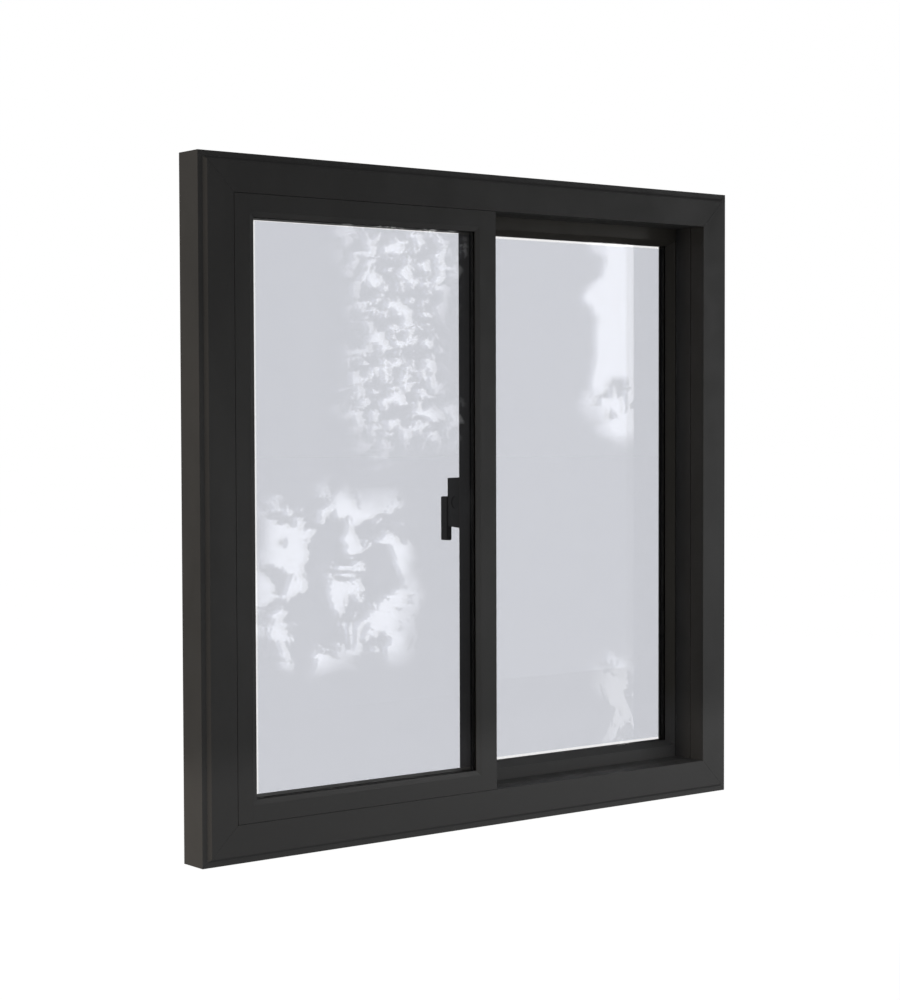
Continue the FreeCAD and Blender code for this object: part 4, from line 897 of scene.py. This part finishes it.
# ---- stage ----
class WINDOW_OT_stage(bpy.types.Operator):
    """Camera, pale floor and soft studio light"""
    bl_idname = "window.stage"
    bl_label = "Stage"

    def camera(self, stage):
        """A long lens left of the window, a little above its middle."""
        data = bpy.data.cameras.new("camera")
        data.lens = stage.lens
        data.sensor_width = 36
        data.clip_start, data.clip_end = 0.05, 100
        camera = bpy.data.objects.new("camera", data)
        turn = (Matrix.Rotation(-stage.heading, 4, "Z")
                @ Matrix.Rotation(radians(90) - stage.tilt, 4, "X")
                @ Matrix.Rotation(-stage.roll, 4, "Z"))
        camera.matrix_world = Matrix.Translation(Vector(stage.eye)) @ turn
        bpy.context.scene.collection.objects.link(camera)
        bpy.context.scene.camera = camera

    def world(self, stage):
        """White where it is seen, straight on or through glass, and dim where it lights."""
        world = bpy.data.worlds.new("studio")
        bpy.context.scene.world = world
        world.use_nodes = True
        tree = world.node_tree
        path = add(tree, "ShaderNodeLightPath")
        bounces = add(tree, "ShaderNodeMath", operation="ADD",
                      links={0: path.outputs["Diffuse Depth"],
                             1: path.outputs["Glossy Depth"]})
        seen = add(tree, "ShaderNodeMath", {1: 0.5}, {0: bounces.outputs[0]},
                   operation="LESS_THAN")
        level = add(tree, "ShaderNodeMapRange", {"To Min": stage.ambient,
                                                 "To Max": stage.backdrop},
                    {"Value": seen.outputs[0]})
        tree.links.new(level.outputs[0], tree.nodes["Background"].inputs["Strength"])
        tree.nodes["Background"].inputs["Color"].default_value = (1, 1, 1, 1)

    def floor(self, stage):
        """A white floor that lights nothing and isn't mirrored in the panes."""
        bpy.ops.mesh.primitive_circle_add(vertices=96, radius=30, fill_type="NGON",
                                          location=(0, 0, 0))
        floor = bpy.context.object
        floor.name = "floor"
        material, tree, bsdf, place = surface("white_floor", Roughness=0.9,
                                              Specular_IOR_Level=0.0)
        bsdf.inputs["Emission Color"].default_value = (1, 1, 1, 1)
        path = add(tree, "ShaderNodeLightPath")
        glow = add(tree, "ShaderNodeMapRange", {"To Min": stage.floor_glow, "To Max": 0.0},
                   {"Value": path.outputs["Glossy Depth"]})
        wire(tree, bsdf, Emission_Strength=glow.outputs[0],
             Base_Color=mottle(tree, place, 900, "5A5A5A", "606060"))
        floor.data.materials.append(material)
        floor.visible_diffuse = False
        floor.visible_glossy = False

    def garden(self, stage):
        """A sunlit garden in front of the window, seen only as a reflection in the panes."""
        low, high = Vector(stage.garden_low), Vector(stage.garden_high)
        bpy.ops.mesh.primitive_plane_add(size=1, location=(low + high) / 2,
                                         rotation=(radians(90), 0, 0))
        card = bpy.context.object
        card.name = "garden"
        card.scale = (high.x - low.x, high.z - low.z, 1)
        bpy.ops.object.transform_apply(location=True, rotation=True, scale=True)
        material = bpy.data.materials.new("garden_light")
        material.use_nodes = True
        tree = material.node_tree
        tree.nodes.clear()
        place = add(tree, "ShaderNodeTexCoord").outputs["Object"]
        wobble = add(tree, "ShaderNodeTexNoise", {"Scale": 9.0, "Detail": 4.0},
                     {"Vector": place})
        shift = add(tree, "ShaderNodeMapRange", {"To Min": -0.09, "To Max": 0.09},
                    {"Value": wobble.outputs["Fac"]})
        ragged = add(tree, "ShaderNodeVectorMath", {}, {0: place, 1: shift.outputs[0]},
                     operation="ADD").outputs[0]

        def leaves(size, fill, sharp):
            """Gaps between leaves: bright cells of a broken-up noise."""
            noise = add(tree, "ShaderNodeTexNoise",
                        {"Scale": 1 / size, "Detail": 6.0, "Roughness": 0.62,
                         "Distortion": 0.4}, {"Vector": place})
            level = add(tree, "ShaderNodeMapRange",
                        {"From Min": 1 - fill - sharp, "From Max": 1 - fill + sharp},
                        {"Value": noise.outputs["Fac"]})
            return level.outputs[0]

        # the areas' edges are shifted by the noise, so they come out ragged
        hedge = area(tree, ragged, 0.60, 0.84, 0.52, 1.0, 0.04)
        shrub = area(tree, ragged, 0.38, 0.74, 0.10, 0.42, 0.03)
        treetop = area(tree, ragged, 1.38, 1.72, 0.5, 0.72, 0.04)
        border = area(tree, ragged, 1.38, 1.66, -0.2, 0.02, 0.04)
        sky = area(tree, ragged, 1.38, 1.72, 0.66, 1.1, 0.012)
        mist = area(tree, ragged, 0.95, 1.8, -0.3, 1.2, 0.05)
        small = leaves(size=0.03, fill=0.47, sharp=0.012)
        large = leaves(size=0.09, fill=0.5, sharp=0.008)
        haze = add(tree, "ShaderNodeMath", {1: 0.12}, {0: mist}, operation="MULTIPLY")
        bands = add(tree, "ShaderNodeMapping", {"Scale": (1, 1, 0.04)}, {"Vector": place})
        trunks = add(tree, "ShaderNodeTexNoise", {"Scale": 5.0, "Detail": 2.0},
                     {"Vector": bands.outputs[0]})
        shade = add(tree, "ShaderNodeMapRange",
                    {"From Min": 0.35, "From Max": 0.65, "To Min": 0.005, "To Max": 0.05},
                    {"Value": trunks.outputs["Fac"]})
        layers = [sky, haze.outputs[0], shade.outputs[0]]
        for patch, gaps in ((hedge, small), (shrub, large), (treetop, large), (border, large)):
            lit = add(tree, "ShaderNodeMath", {}, {0: patch, 1: gaps}, operation="MULTIPLY")
            layers.append(lit.outputs[0])
        total = layers[0]
        for layer in layers[1:]:
            brighter = add(tree, "ShaderNodeMath", {}, {0: total, 1: layer},
                           operation="MAXIMUM")
            total = brighter.outputs[0]
        strength = add(tree, "ShaderNodeMath", {1: stage.garden}, {0: total},
                       operation="MULTIPLY")
        glow = add(tree, "ShaderNodeEmission", {}, {"Strength": strength.outputs[0]})
        path = add(tree, "ShaderNodeLightPath")
        clear = add(tree, "ShaderNodeBsdfTransparent")
        mirrored = add(tree, "ShaderNodeMixShader", links={0: path.outputs["Glossy Depth"]})
        tree.links.new(clear.outputs[0], mirrored.inputs[1])
        tree.links.new(glow.outputs[0], mirrored.inputs[2])
        out = add(tree, "ShaderNodeOutputMaterial")
        tree.links.new(mirrored.outputs[0], out.inputs["Surface"])
        card.data.materials.append(material)
        card.visible_camera = False
        card.visible_diffuse = False
        card.visible_shadow = False

    def lamp(self, name, place, aim, size, power, tint):
        """A soft box that lights the window but is seen neither straight nor mirrored."""
        data = bpy.data.lights.new(name, "AREA")
        data.shape = "RECTANGLE"
        data.size, data.size_y = size
        data.energy = power
        data.color = tint
        lamp = bpy.data.objects.new(name, data)
        lamp.location = place
        direction = Vector(aim) - Vector(place)
        lamp.rotation_euler = direction.to_track_quat("-Z", "Y").to_euler()
        lamp.visible_camera = False
        lamp.visible_glossy = False
        lamp.visible_transmission = False
        bpy.context.scene.collection.objects.link(lamp)

    def execute(self, context):
        stage = settings().stage
        bpy.context.scene.view_settings.view_transform = "Standard"
        self.camera(stage)
        self.world(stage)
        self.floor(stage)
        self.garden(stage)
        self.lamp("side_light", place=(-3.0, 0.5, 0.5), aim=(-0.45, 0, 0.45),
                  size=(1.2, 1.6), power=34, tint=WARM)
        self.lamp("reveal_light", place=(-3.0, -0.35, 0.35), aim=(0.42, 0, 0.4),
                  size=(0.2, 0.9), power=24, tint=WARM)
        self.lamp("low_front_light", place=(0.2, -0.75, 0.32), aim=(0.1, 0, 0.0),
                  size=(1.3, 0.2), power=2.9, tint=WHITE)
        self.lamp("low_right_light", place=(1.0, -0.6, 0.33), aim=(0.42, 0, 0.33),
                  size=(0.3, 0.5), power=1.2, tint=WHITE)
        return {"FINISHED"}


# ---- panel and registration ----
OPERATORS = (WINDOW_OT_casing, WINDOW_OT_frame, WINDOW_OT_sashes, WINDOW_OT_glazing,
             WINDOW_OT_rollers, WINDOW_OT_lock, WINDOW_OT_pile, WINDOW_OT_fixings,
             WINDOW_OT_stage)


class WINDOW_PT_sidebar(bpy.types.Panel):
    """Buttons and settings of the window"""
    bl_idname = "WINDOW_PT_sidebar"
    bl_label = "Sliding window"
    bl_space_type = "VIEW_3D"
    bl_region_type = "UI"
    bl_category = "Window"

    def draw(self, context):
        column = self.layout.column()
        for operator in OPERATORS:
            column.operator(operator.bl_idname)
        for name, group in GROUPS.items():
            box = self.layout.box()
            box.label(text=group.__doc__)
            for key in group.__annotations__:
                box.prop(getattr(context.scene.sliding_window, name), key)


CLASSES = tuple(GROUPS.values()) + (WindowSettings,) + OPERATORS + (WINDOW_PT_sidebar,)


def register():
    for cls in CLASSES:
        bpy.utils.register_class(cls)
    bpy.types.Scene.sliding_window = PointerProperty(type=WindowSettings)


def unregister():
    del bpy.types.Scene.sliding_window
    for cls in reversed(CLASSES):
        bpy.utils.unregister_class(cls)


def main():
    register()
    MATERIALS.update(make_materials())
    for name in ("casing", "frame", "sashes", "glazing", "rollers", "lock", "pile",
                 "fixings", "stage"):
        getattr(bpy.ops.window, name)()


if __name__ == "__main__":
    main()
